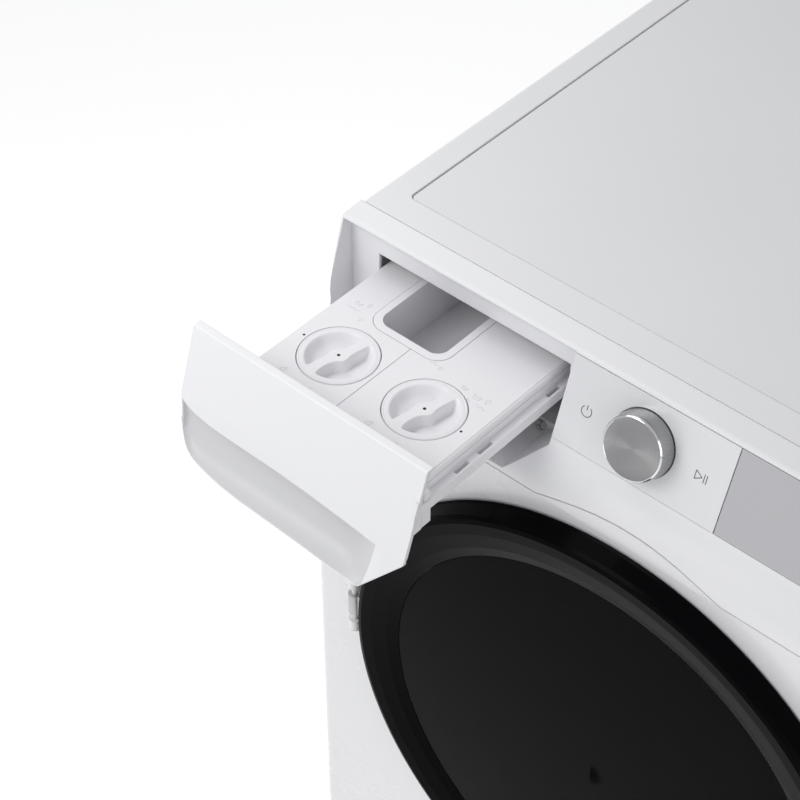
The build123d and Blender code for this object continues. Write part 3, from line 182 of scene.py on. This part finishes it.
# painted shade: flat dark discs and shallow cups stand in for the shade inside the cap vents, lid vents and drum holes
HOLE_SHADE_PAINT = surface("hole_painted_shade", (0.012, 0.012, 0.013), 0.7, vary=0.2, patch=300.0, grain=2000, bump=0.1, bevel=0)

record = frame["record"]
slot_of = {s["node"]: s["material_slot"] for s in record["subparts"]}
for name, ob in NODES.items():
    ob.data.materials.clear()
    ob.data.materials.append(M[slot_of[name]])


for name in ("door_hinge_bracket", "door_hinge_pin"):
    NODES[name].data.materials[0] = M["white_enamel"]


# ------------------------------------------------------------------ mesh helpers
def to_object(name, bm, material, body, sharp=38.0, smooth=True):
    bm.normal_update()
    for f in bm.faces:
        f.smooth = smooth
    lim = math.radians(sharp)
    for e in bm.edges:
        if len(e.link_faces) == 2:
            e.smooth = e.calc_face_angle(0.0) < lim
    me = bpy.data.meshes.new(name)
    bm.to_mesh(me)
    bm.free()
    ob = bpy.data.objects.new(name, me)
    bpy.context.scene.collection.objects.link(ob)
    me.materials.append(material)
    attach(ob, body)
    return ob


def grid_faces(bm, rows, wrap=False):
    """rows: list of lists of Vectors (row frame) -> quads between neighbouring rows."""
    vs = [[bm.verts.new(p) for p in r] for r in rows]
    n = len(rows[0])
    for a, b in zip(vs, vs[1:]):
        for i in range(n if wrap else n - 1):
            j = (i + 1) % n
            q = [a[i], a[j], b[j], b[i]]
            if len({tuple(v.co) for v in q}) > 2:
                try:
                    bm.faces.new(q)
                except ValueError:
                    pass
    return vs


def clean(bm, dist=1e-6):
    bmesh.ops.remove_doubles(bm, verts=bm.verts, dist=dist)
    bmesh.ops.dissolve_degenerate(bm, dist=1e-7, edges=bm.edges)
    bmesh.ops.recalc_face_normals(bm, faces=bm.faces)


def turned(bm, centre, axis, u, v, profile, steps=96):
    """profile: (distance along axis, radius) in mm about centre."""
    rows = []
    for d, r in profile:
        rows.append([centre + axis * (d / 1000.0) + (u * math.cos(2 * math.pi * k / steps) + v * math.sin(2 * math.pi * k / steps)) * (r / 1000.0) for k in range(steps)])
    vs = grid_faces(bm, rows, wrap=True)
    for ring, rev in ((vs[0], True), (vs[-1], False)):
        if profile[0 if rev else -1][1] > 1e-6:
            bm.faces.new(ring[::-1] if rev else ring)
    return vs


def ribbon(bm, pts, width, thick, normal):
    """A flat printed stroke along pts (row frame), standing thick proud of the surface."""
    n = len(pts)
    left, right = [], []
    for i in range(n):
        t = (pts[min(i + 1, n - 1)] - pts[max(i - 1, 0)]).normalized()
        s = t.cross(normal).normalized() * (width / 2)
        left.append(pts[i] + s)
        right.append(pts[i] - s)
    up = normal * thick
    rows = [left, [p + up for p in left], [p + up for p in right], right, left]
    grid_faces(bm, rows)
    for k in (0, -1):
        q = [left[k], left[k] + up, right[k] + up, right[k]]
        bm.faces.new([bm.verts.new(p) for p in q])


def arc_pts(centre, u, v, r, a0, a1, n=24):
    return [centre + (u * math.cos(math.radians(a0 + (a1 - a0) * k / n)) + v * math.sin(math.radians(a0 + (a1 - a0) * k / n))) * r for k in range(n + 1)]


# ------------------------------------------------------------------ dial
X_AX = Vector((1, 0, 0))


def build_dial():
    c = P(286.0, 30.7, 812.0)
    mat = bpy.data.materials.new("spun_face")
    nt, sh = nodes_of(mat)
    tc = nt.nodes.new("ShaderNodeTexCoord").outputs["Object"]
    sep = nt.nodes.new("ShaderNodeVectorMath")
    sep.operation = "MULTIPLY"
    sep.inputs[1].default_value = (1, 1, 0)
    nt.links.new(tc, sep.inputs[0])
    ln = nt.nodes.new("ShaderNodeVectorMath")
    ln.operation = "LENGTH"
    nt.links.new(sep.outputs[0], ln.inputs[0])
    rings = nt.nodes.new("ShaderNodeTexNoise")
    rings.noise_dimensions = "1D"
    rings.inputs["Scale"].default_value = 5200
    rings.inputs["Detail"].default_value = 3
    nt.links.new(ln.outputs["Value"], rings.inputs["W"])
    nt.links.new(two_tone(nt, rings.outputs["Fac"], (0.33, 0.33, 0.335), (0.42, 0.42, 0.425)), sh.inputs["Base Color"])
    nt.links.new(span(nt, rings.outputs["Fac"], 0.20, 0.34), sh.inputs["Roughness"])
    sh.inputs["Metallic"].default_value = 1.0
    sh.inputs["Anisotropic"].default_value = 0.85
    tan = nt.nodes.new("ShaderNodeTangent")
    tan.direction_type = "RADIAL"
    tan.axis = "Z"
    nt.links.new(tan.outputs["Tangent"], sh.inputs["Tangent"])
    bp = nt.nodes.new("ShaderNodeBump")
    bp.inputs["Strength"].default_value = 0.25
    bp.inputs["Distance"].default_value = 0.00003
    nt.links.new(rings.outputs["Fac"], bp.inputs["Height"])
    nt.links.new(bp.outputs["Normal"], sh.inputs["Normal"])

    rot = Matrix((X_AX, NORMAL.cross(X_AX), NORMAL)).transposed()
    U, V, W = Vector((1, 0, 0)), Vector((0, 1, 0)), Vector((0, 0, 1))
    O = Vector((0, 0, 0))

    def place(name, prof, material, body, sharp):
        bm = bmesh.new()
        turned(bm, O, W, U, V, prof, 160)
        clean(bm)
        me = bpy.data.meshes.new(name)
        bm.normal_update()
        for f in bm.faces:
            f.smooth = True
        for e in bm.edges:
            if len(e.link_faces) == 2:
                e.smooth = e.calc_face_angle(0.0) < math.radians(sharp)
        bm.to_mesh(me)
        bm.free()
        ob = bpy.data.objects.new(name, me)
        bpy.context.scene.collection.objects.link(ob)
        ob.matrix_world = Matrix.Translation(c) @ rot.to_4x4()
        me.materials.append(material)
        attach(ob, body)
        return ob

    side = place("dial_body", [(0.6, 0.0), (0.6, 24.4), (0.9, 25.0), (1.5, 25.15), (12.0, 24.2), (13.6, 23.95), (13.9, 23.6), (13.9, 22.6), (13.4, 22.4), (13.4, 0.0)], M["spun_aluminium"], "dial", 30)
    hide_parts("dial_knob")
    polish = surface("dial_rim", (0.80, 0.80, 0.81), 0.12, metal=1.0, vary=0.02, patch=90.0, rough_var=0.03, grain=2200, bump=0.05, depth=0.00002, bevel=0)
    place("dial_rim", [(13.3, 23.7), (13.95, 23.7), (14.75, 22.9), (14.85, 22.6), (14.55, 22.3), (13.3, 22.3)], polish, "dial", 20)
    place("dial_face", [(13.3, 22.35), (14.5, 22.35), (14.35, 21.0), (14.1, 14.0), (14.0, 6.0), (14.0, 0.0), (13.3, 0.0)], mat, "dial", 25)
    # painted shadow: a dark ring laid on the control plate round the dial's base
    bm = bmesh.new()
    turned(bm, P(286.0, face_y(812.0), 812.0), NORMAL, X_AX, UP_FACE, [(0.30, 0.0), (0.30, 25.6), (0.55, 25.6), (0.55, 25.0), (0.36, 24.6), (0.36, 0.0)], 128)
    clean(bm)
    to_object("dial_shadow_ring", bm, PRINT_AND_SHADOW_INK, "cabinet")


build_dial()


# ------------------------------------------------------------------ marks on the control plate
def on_face(x, z, lift=0.34):
    return P(x, face_y(z), z) + NORMAL * (lift / 1000.0)


def panel_marks():
    bm = bmesh.new()
    c = on_face(238.0, 811.0)
    ribbon(bm, arc_pts(c, X_AX, UP_FACE, 0.0042, 128, 412, 36), 0.0006, 0.00006, NORMAL)
    ribbon(bm, [c + UP_FACE * 0.0011, c + UP_FACE * 0.0030, c + UP_FACE * 0.0050], 0.0006, 0.00006, NORMAL)
    clean(bm)
    to_object("power_mark", bm, PRINT_AND_SHADOW_INK, "cabinet")
    bm = bmesh.new()
    c = on_face(333.5, 812.0)
    tri = [(-4.4, -3.4), (1.0, 0.0), (-4.4, 3.4), (-4.4, -3.4)]
    for a, b in zip(tri, tri[1:]):
        pa, pb = c + (X_AX * a[0] + UP_FACE * a[1]) / 1000.0, c + (X_AX * b[0] + UP_FACE * b[1]) / 1000.0
        ribbon(bm, [pa, (pa + pb) / 2, pb], 0.0006, 0.00006, NORMAL)
    for dx in (2.6, 4.6):
        pa, pb = c + (X_AX * dx + UP_FACE * -3.4) / 1000.0, c + (X_AX * dx + UP_FACE * 3.4) / 1000.0
        ribbon(bm, [pa, (pa + pb) / 2, pb], 0.0006, 0.00006, NORMAL)
    clean(bm)
    to_object("start_pause_mark", bm, PRINT_AND_SHADOW_INK, "cabinet")
    dot = surface("raised_dot", (0.86, 0.86, 0.88), 0.2, vary=0.02, patch=200.0, grain=2500, bump=0.05, bevel=0)
    bm = bmesh.new()
    for gx in (236.4, 333.4):
        for dx, dz in ((-2.2, 0.6), (-0.2, 1.9), (0.2, -1.4), (2.2, 0.2)):
            c = on_face(gx + dx, 788.0 + dz, 0.28)
            turned(bm, c, NORMAL, X_AX, UP_FACE, [(0.0, 0.62), (0.18, 0.58), (0.36, 0.34), (0.42, 0.0)], 16)
    clean(bm)
    to_object("tactile_dots", bm, dot, "cabinet")


panel_marks()


# ------------------------------------------------------------------ screw caps of the two tanks
def cap_height(x, y):
    """Height above the rim plane (mm) of a point of the cap, x and y in mm from its centre; the grip bar is turned 12 degrees."""
    a = math.radians(-12.0)
    bx, by = -math.sin(a), math.cos(a)
    along_bar = x * bx + y * by
    side = x * by - y * bx
    r = math.hypot(x, y)
    wave = 1.3 * math.sin(along_bar / 24.0 * math.pi) * (1 if side > 0 else -1)
    half = 3.7 + wave + 3.4 * math.exp(-(along_bar / 5.6) ** 2) + 1.3 * (abs(along_bar) / 24.0) ** 3
    d_bar = abs(side) - half
    d_rim = 25.0 - r
    if d_bar <= 0 or d_rim <= 0:
        return 0.0
    near_bar = 1.0 - math.exp(-(d_bar / 1.0) ** 2)
    near_rim = 1.0 - math.exp(-(d_rim / 3.4) ** 2)
    dish = 10.4 - 4.6 * min(1.0, d_bar / 17.0)
    return -dish * near_bar * near_rim


def build_cap(name, node, body, cx, cy, turn=0.0):
    bm = bmesh.new()
    steps, z0 = 192, 810.4
    rows = []
    radii = [29.85, 29.85, 29.7, 29.3, 28.8, 28.4, 28.1, 27.9, 27.6, 27.0, 26.2] + [25.6 - 0.42 * k for k in range(59)] + [0.9]
    heights = [-12.4, -0.9, -0.35, -0.05, 0.0, -0.02, -0.22, -0.22, -0.02, 0.0, 0.0]
    for i, r in enumerate(radii):
        row = []
        for k in range(steps):
            a = 2 * math.pi * k / steps
            x, y = r * math.cos(a), r * math.sin(a)
            h = heights[i] if i < len(heights) else cap_height(x, y)
            row.append(P(cx + x, cy + y, z0 + h))
        rows.append(row)
    vs = grid_faces(bm, rows, wrap=True)
    bm.faces.new(vs[-1][::-1])
    bm.faces.new(vs[0])
    clean(bm)
    ob = to_object(name, bm, M["tray_plastic"], body, sharp=60)
    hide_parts(node)
    bm = bmesh.new()
    turned(bm, P(cx, cy, z0), Vector((0, 0, 1)), Vector((1, 0, 0)), Vector((0, 1, 0)), [(-0.15, 1.25), (0.05, 1.25), (0.05, 0.0)], 28)
    clean(bm)
    to_object(name + "_vent", bm, HOLE_SHADE_PAINT, body)
    return ob


build_cap("left_cap_skin", "left_tank_cap", "left_cap", 72.0, 112.7 + OUT)
build_cap("right_cap_skin", "right_tank_cap", "right_cap", 152.8, 112.2 + OUT)


# ------------------------------------------------------------------ small marks on the tank lids
def lid_marks():
    zt = 810.0
    Z = Vector((0, 0, 1))
    XU, YU = Vector((1, 0, 0)), Vector((0, 1, 0))
    bm = bmesh.new()
    for hx, hy in ((38.7, -40.6), (185.6, -40.7)):
        turned(bm, P(hx, hy, zt), Z, XU, YU, [(-0.05, 1.0), (0.06, 1.0), (0.06, 0.0)], 20)
    clean(bm)
    to_object("lid_vent_holes", bm, HOLE_SHADE_PAINT, "drawer")
    # painted shade: the signs stand only 0.07 mm proud, so their darker grey stands in for the shading of the embossed
    # relief
    emb_shade_paint = surface("embossed_mark_painted_shade", (0.62, 0.615, 0.64), 0.4, vary=0.03, patch=200.0, grain=2600, bump=0.1, bevel=0)
    bm = bmesh.new()

    def stroke(pts, w=0.45):
        ribbon(bm, [P(x, y, zt + 0.01) for x, y in pts], w / 1000.0, 0.00007, Z)

    def padlock(x, y, s, open_):
        stroke([(x - s, y - s * 0.9), (x, y - s * 0.9), (x + s, y - s * 0.9)])
        stroke([(x + s, y - s * 0.9), (x + s, y), (x + s, y + s * 0.5)])
        stroke([(x - s, y + s * 0.5), (x, y + s * 0.5), (x + s, y + s * 0.5)])
        stroke([(x - s, y - s * 0.9), (x - s, y), (x - s, y + s * 0.5)])
        off = s * 0.75 if open_ else 0.0
        stroke([(x + off + 0.62 * s * math.cos(t), y + s * 0.5 + 0.95 * s * math.sin(t)) for t in np.linspace(0, math.pi, 13)])

    for cx in (72.3, 152.9):
        padlock(cx - 20.0, -76.0, 1.9, True)
        padlock(cx + 7.5, -80.5, 1.9, False)
    # wavy line, drop and basin outlines: plain care signs
    def drop(x, y, s):
        stroke([(x + s * 0.62 * math.sin(t) * (1 - 0.55 * math.cos(t)) * 0.9, y - s * math.cos(t)) for t in np.linspace(0, 2 * math.pi, 25)])

    def wave(x, y, w):
        stroke([(x + t, y + 0.9 * math.sin(t * 2 * math.pi / 4.2)) for t in np.linspace(0, w, 33)])

    def basin(x, y, s):
        stroke([(x - s, y + s * 0.6), (x - s * 0.75, y - s * 0.7), (x, y - s * 0.7), (x + s * 0.75, y - s * 0.7), (x + s, y + s * 0.6)])
        wave(x - s * 0.9, y + s * 0.15, s * 1.8)

    basin(46.0, 10.0, 3.0)
    drop(53.5, 13.0, 2.2)
    wave(41.0, 3.5, 10.5)
    drop(58.5, -2.5, 1.8)
    basin(118.0, 0.5, 2.6)
    wave(122.5, -1.5, 8.4)
    drop(134.5, -3.0, 1.9)
    basin(172.5, -8.0, 3.2)
    wave(163.0, -14.0, 8.4)
    drop(181.0, -7.0, 2.4)
    wave(176.5, -14.5, 8.4)
    basin(160.0, -6.5, 2.4)
    clean(bm)
    to_object("lid_signs", bm, emb_shade_paint, "drawer")


lid_marks()


# ------------------------------------------------------------------ drawer front
LIP = [(-2.0, 27.5), (2.3, 22.5), (7.0, 18.0), (15.7, 13.7), (27.5, 11.0), (43.0, 8.2), (57.0, 6.4), (75.0, 5.2),
       (105.0, 4.6), (135.0, 3.8), (160.0, 2.6), (190.0, 1.8), (222.0, 1.0)]
CREASE = [(2.3, 793.2), (2.8, 791.0), (6.2, 788.2), (12.9, 785.3), (23.4, 783.6), (30.6, 782.7), (48.0, 782.0), (93.0, 781.9), (121.0, 781.1),
          (168.0, 778.4), (188.0, 777.5), (212.0, 775.4), (216.2, 775.0)]
DEPTH = [(2.3, 0.0), (3.4, 0.0), (3.9, 0.06), (4.3, 0.34), (4.8, 0.70), (5.8, 0.88), (8.5, 0.96), (14.0, 1.0), (158.0, 1.0), (168.0, 0.95),
         (176.0, 0.76), (184.0, 0.42), (191.0, 0.15), (198.0, 0.03), (216.2, 0.0)]


def table(t, x):
    if x <= t[0][0]:
        return t[0][1]
    for (xa, va), (xb, vb) in zip(t, t[1:]):
        if x <= xb:
            return va + (vb - va) * (x - xa) / (xb - xa)
    return t[-1][1]


def smooth_table(t, x, w):
    return sum(table(t, x + w * k / 3.0) for k in (-3, -2, -1, 0, 1, 2, 3)) / 7.0


def bottom_z(x):
    if x < 26.0:
        return 770.9 - math.sqrt(max(0.0, 23.7 ** 2 - (26.0 - x) ** 2)) if x > 2.3 else 770.0
    if x > 189.4:
        return 747.2 + (x - 189.4) * (774.6 - 747.2) / (216.2 - 189.4)
    return 747.2


def bez(p0, p1, p2, p3, t):
    k = 1 - t
    return tuple(k * k * k * a + 3 * k * k * t * b + 3 * k * t * t * c + t * t * t * d for a, b, c, d in zip(p0, p1, p2, p3))


# painted shade: a darker grey-white for the scoop faces under the crease, standing in for the shade that falls there
SCOOP_PAINTED_SHADE = surface("scoop_painted_shade", (0.60, 0.60, 0.615), 0.42, vary=0.006, patch=4.0, rough_var=0.02, grain=1500, bump=0.12, depth=0.00005, bevel=0)


def build_drawer_front():
    xs = [2.3, 2.5, 2.8, 3.2, 3.6, 3.9, 4.1, 4.3, 4.55, 4.8, 5.2, 5.8, 6.8, 8.2, 10.0, 12.2, 15.0, 18.5, 22.0, 26.0, 30.0]
    xs += [30.0 + 5.0 * k for k in range(1, 25)] + [153.0 + 2.6 * k for k in range(14)] + [188.4, 189.4, 191.0, 193.5, 196.5, 200.0, 204.0, 208.0, 211.5, 214.2, 215.4, 216.0, 216.2]
    xs = sorted(set(round(x, 3) for x in xs))
    cols = []
    top = min(1000.0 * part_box("drawer_front")[1].z, 845.5) - 0.1
    for x in xs:
        c = table(CREASE, x) if x < 8 else smooth_table(CREASE, x, 4.0)
        zb = bottom_z(x)
        c = max(min(c, 793.2), zb + 1.9)
        lip = max(1.9, table(LIP, x) if x < 5 else smooth_table(LIP, x, 4.0))
        if x > 187.4:
            lip += (18.2 - lip) * (x - 187.4) / 28.8
        fy = face_y(c)
        d = table(DEPTH, x)
        soft = 0.35 + 1.5 * max(0.0, min(1.0, (x - 90.0) / 110.0))
        loop = [(48.5, 843.6), (48.5, top - 0.3), (48.2, top), (43.4, top), (42.55, top - 0.18), (42.0, top - 0.7), (face_y(843.4), 843.4)]
        for z in (836.0, 826.0, 816.0, 806.0, 798.0):
            if z > c + 3.5:
                loop.append((face_y(z), z))
            else:
                loop.append((face_y(c + 3.0), c + 3.0))
        loop.append((face_y(c + soft), c + soft))
        p0 = (fy, c)
        p3 = (min(lip + 0.35, fy - 0.2), zb + 1.25)
        full1, full2 = (fy + 6.5, c - 11.0), (fy + 4.5, zb + 2.4)
        ch1 = (p0[0] + (p3[0] - p0[0]) / 3, p0[1] + (p3[1] - p0[1]) / 3)
        ch2 = (p0[0] + 2 * (p3[0] - p0[0]) / 3, p0[1] + 2 * (p3[1] - p0[1]) / 3)
        p1 = (ch1[0] + (full1[0] - ch1[0]) * d, ch1[1] + (full1[1] - ch1[1]) * d)
        p2 = (ch2[0] + (full2[0] - ch2[0]) * d, ch2[1] + (full2[1] - ch2[1]) * d)
        loop.append(bez(p0, p1, p2, p3, 0.012))
        for k in range(1, 25):
            loop.append(bez(p0, p1, p2, p3, 0.012 + 0.988 * k / 24.0))
        lp = p3[0] - 0.35
        loop += [(lp + 0.06, zb + 0.85), (lp, zb + 0.5), (lp + 0.1, zb + 0.14), (lp + 0.5, zb)]
        # thin shell behind
        under = max(p3[0] + 1.2, 29.0 * d + (p3[0] + 2.6) * (1 - d))
        loop += [(under - 0.4, zb), (under, zb + 0.4)]
        for k in range(20, 3, -4):
            y, z = bez(p0, p1, p2, p3, 0.012 + 0.988 * k / 24.0)
            y2 = y + 2.4 + 0.6 * (k / 24.0)
            loop.append((max(y2, under if k > 12 else y2), max(z, zb + 0.6 + 0.3 * (20 - k))))
        loop += [(max(fy + 3.1, under), c + 1.0), (face_y(c + 5) + 3.2, c + 5.0)]
        loop += [(face_y(z) + 3.0, z) for z in (806.0, 820.0, 834.0, 841.0)]
        loop += [(45.4, 843.2), (48.3, 843.2)]
        cols.append([P(x, y + OUT, z) for y, z in loop])
    bm = bmesh.new()
    vs = grid_faces(bm, cols, wrap=True)
    bm.faces.new(vs[0][::-1])
    bm.faces.new(vs[-1])
    clean(bm, 1e-6)
    bmesh.ops.triangulate(bm, faces=[f for f in bm.faces if len(f.verts) > 4])
    # painted shade: faces inside the scoop below the crease take the darker second material
    for f in bm.faces:
        m = f.calc_center_median()
        x, y, z = m.x * 1000 + 300, m.y * 1000 + MY - OUT, m.z * 1000
        lipz = min(bottom_z(x), 773.0) + 1.3
        if 4.0 < x < 192.0 and lipz < z < table(CREASE, x) - 0.05 and y < 27.6 and f.normal.dot(Vector((0.0, -0.8, 0.6))) > -0.35:
            f.material_index = 1
    ob = to_object("drawer_front_skin", bm, M["white_plastic"], "drawer", sharp=42)
    ob.data.materials.append(SCOOP_PAINTED_SHADE)
    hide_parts("drawer_front")
    bm = bmesh.new()

    def prism(pts, x0, x1):
        rows = [[P(x, y + OUT, z) for y, z in pts] for x in (x0, x1)]
        v = grid_faces(bm, rows, wrap=True)
        bm.faces.new(v[0][::-1])
        bm.faces.new(v[-1])

    prism([(26.8, 796.3), (35.7, 796.2), (36.8, 796.9), (37.1, 798.0), (36.9, 812.6), (33.9, 822.6), (30.0, 812.0)], 213.7, 216.0)
    for rx in (10.0, 60.0, 150.0):
        prism([(29.6, 756.0), (48.4, 756.0), (48.4, 843.0), (43.8, 843.0), (27.6, 794.0), (29.6, 780.0)], rx, rx + 2.4)
    clean(bm, 1e-6)
    to_object("drawer_front_ribs", bm, M["white_plastic"], "drawer", sharp=30)


build_drawer_front()


def build_lid_edges():
    bm = bmesh.new()

    def bar(profile, y0, y1):
        rows = [[P(x, y + OUT, z) for x, z in profile] for y in (y0, y1)]
        v = grid_faces(bm, rows, wrap=True)
        bm.faces.new(v[0][::-1])
        bm.faces.new(v[-1])

    # rolled right edge of the lid standing on the tank wall, and the bead between the two lids
    bar([(194.62, 806.15), (197.7, 806.15), (197.72, 806.6), (197.4, 807.6), (196.7, 808.8), (195.8, 809.5), (194.9, 809.8), (194.62, 809.82)], 49.4, 329.6)
    bar([(105.42, 806.3), (105.98, 806.3), (105.98, 809.55), (105.7, 809.68), (105.42, 809.55)], 49.6, 150.9)
    clean(bm, 1e-7)
    to_object("lid_edge_rail", bm, M["tray_plastic"], "drawer", sharp=50)


build_lid_edges()


# ------------------------------------------------------------------ drum perforations and coil springs
def drum_holes():
    bm = bmesh.new()
    r = 230.62
    rows = 21
    for i in range(rows):
        y = 118.0 + i * 15.2
        for k in range(84):
            a = 2 * math.pi * (k + 0.5 * (i % 2)) / 84
            deg = math.degrees(a)
            if any(abs((deg - p + 180) % 360 - 180) < 11.0 for p in (90, 210, 330)):
                continue
            n = Vector((math.cos(a), 0, math.sin(a)))
            t = Vector((-math.sin(a), 0, math.cos(a)))
            c = P(300 + r * math.cos(a), y, 496 + r * math.sin(a))
            vs = [bm.verts.new(c + (t * math.cos(q) + Vector((0, 1, 0)) * math.sin(q)) * 0.0017) for q in [2 * math.pi * j / 8 for j in range(8)]]
            top = [bm.verts.new(c - n * 0.00012 + (t * math.cos(q) + Vector((0, 1, 0)) * math.sin(q)) * 0.0015) for q in [2 * math.pi * j / 8 for j in range(8)]]
            bm.faces.new(top)
            for j in range(8):
                bm.faces.new([vs[j], vs[(j + 1) % 8], top[(j + 1) % 8], top[j]])
    to_object("drum_perforations", bm, HOLE_SHADE_PAINT, "drum", smooth=False)


drum_holes()


def tube_along(bm, pts, radius, sides=10):
    n = len(pts)
    rows = []
    prev = None
    for i in range(n):
        t = (pts[min(i + 1, n - 1)] - pts[max(i - 1, 0)]).normalized()
        u = prev - t * prev.dot(t) if prev is not None else t.orthogonal()
        u.normalize()
        prev = u
        v = t.cross(u)
        rows.append([pts[i] + (u * math.cos(2 * math.pi * k / sides) + v * math.sin(2 * math.pi * k / sides)) * radius for k in range(sides)])
    vs = grid_faces(bm, rows, wrap=True)
    bm.faces.new(vs[0][::-1])
    bm.faces.new(vs[-1])


def coil_springs():
    bm = bmesh.new()
    for sx, tx in ((62, 112), (538, 488)):
        a, b = P(sx, 400, 800), P(tx, 400, 690)
        ax = (b - a).normalized()
        ln = (b - a).length
        u = Vector((0, 1, 0))
        v = ax.cross(u)
        turns = 17
        pts = []
        for k in range(turns * 20 + 1):
            q = 2 * math.pi * k / 20
            s = 0.008 + (ln - 0.020) * k / (turns * 20)
            pts.append(a + ax * s + (u * math.cos(q) + v * math.sin(q)) * 0.0103)
        tube_along(bm, pts, 0.0016, 8)
    clean(bm, 1e-7)
    ob = to_object("spring_coils", bm, M["galvanised"], "cabinet", sharp=70)
    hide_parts("suspension_springs")


coil_springs()


# ------------------------------------------------------------------ floor, light, camera
fm = surface("studio_floor", (0.93, 0.93, 0.93), 0.7, vary=0.004, patch=1.5, grain=60, bump=0.02, depth=0.0002, bevel=0, spec=0.2)
for nd in fm.node_tree.nodes:
    if nd.type == "BSDF_PRINCIPLED":
        nd.inputs["Emission Color"].default_value = (1.0, 1.0, 1.0, 1.0)
        nd.inputs["Emission Strength"].default_value = 0.42
bm = bmesh.new()
S = 30.0
n = 12
rows = [[Vector((-S + 2 * S * i / n, -S + 2 * S * j / n, 0.0)) for i in range(n + 1)] for j in range(n + 1)]
grid_faces(bm, rows)
me = bpy.data.meshes.new("studio_floor")
bm.to_mesh(me)
bm.free()
floor = bpy.data.objects.new("studio_floor", me)
bpy.context.scene.collection.objects.link(floor)
me.materials.append(fm)

scene = bpy.context.scene
world = bpy.data.worlds.new("studio")
scene.world = world
world.use_nodes = True
bg = world.node_tree.nodes["Background"]
bg.inputs["Color"].default_value = (0.985, 0.99, 1.0, 1)
bg.inputs["Strength"].default_value = 0.52


def area(name, loc, target, size, power, colour=(1, 1, 1), size_y=None):
    l = bpy.data.lights.new(name, "AREA")
    l.energy = power
    l.color = colour
    l.shape = "RECTANGLE"
    l.size = size
    l.size_y = size_y or size
    o = bpy.data.objects.new(name, l)
    o.location = loc
    o.rotation_euler = (Vector(target) - Vector(loc)).to_track_quat("-Z", "Y").to_euler()
    scene.collection.objects.link(o)
    return o


area("key_left_front", (-0.58, -0.98, 1.52), (-0.12, -0.42, 0.80), 0.7, 6.0)
area("overhead_left", (-0.80, 0.05, 1.75), (-0.10, -0.10, 0.85), 0.9, 3.4)
area("rim_right", (1.5, -0.9, 1.5), (0.0, -0.35, 0.76), 0.5, 3.0, size_y=1.2)

scene.view_settings.view_transform = "Standard"
scene.view_settings.look = "None"
scene.view_settings.exposure = 0.0
scene.view_settings.gamma = 1.0

cam = bpy.data.cameras.new("camera")
cam.sensor_width = 36.0
cam.lens = 94.057
cam.clip_start = 0.02
cam.clip_end = 60.0
co = bpy.data.objects.new("camera", cam)
scene.collection.objects.link(co)
az, el = math.radians(41.5753), math.radians(44.1818)
back = Vector((math.sin(az) * math.cos(el), -math.cos(az) * math.cos(el), math.sin(el)))
co.location = Vector((0.51986, (-818.19 - MY) / 1000.0, 1.81411))
co.rotation_euler = (-back).to_track_quat("-Z", "Y").to_euler()
scene.camera = co
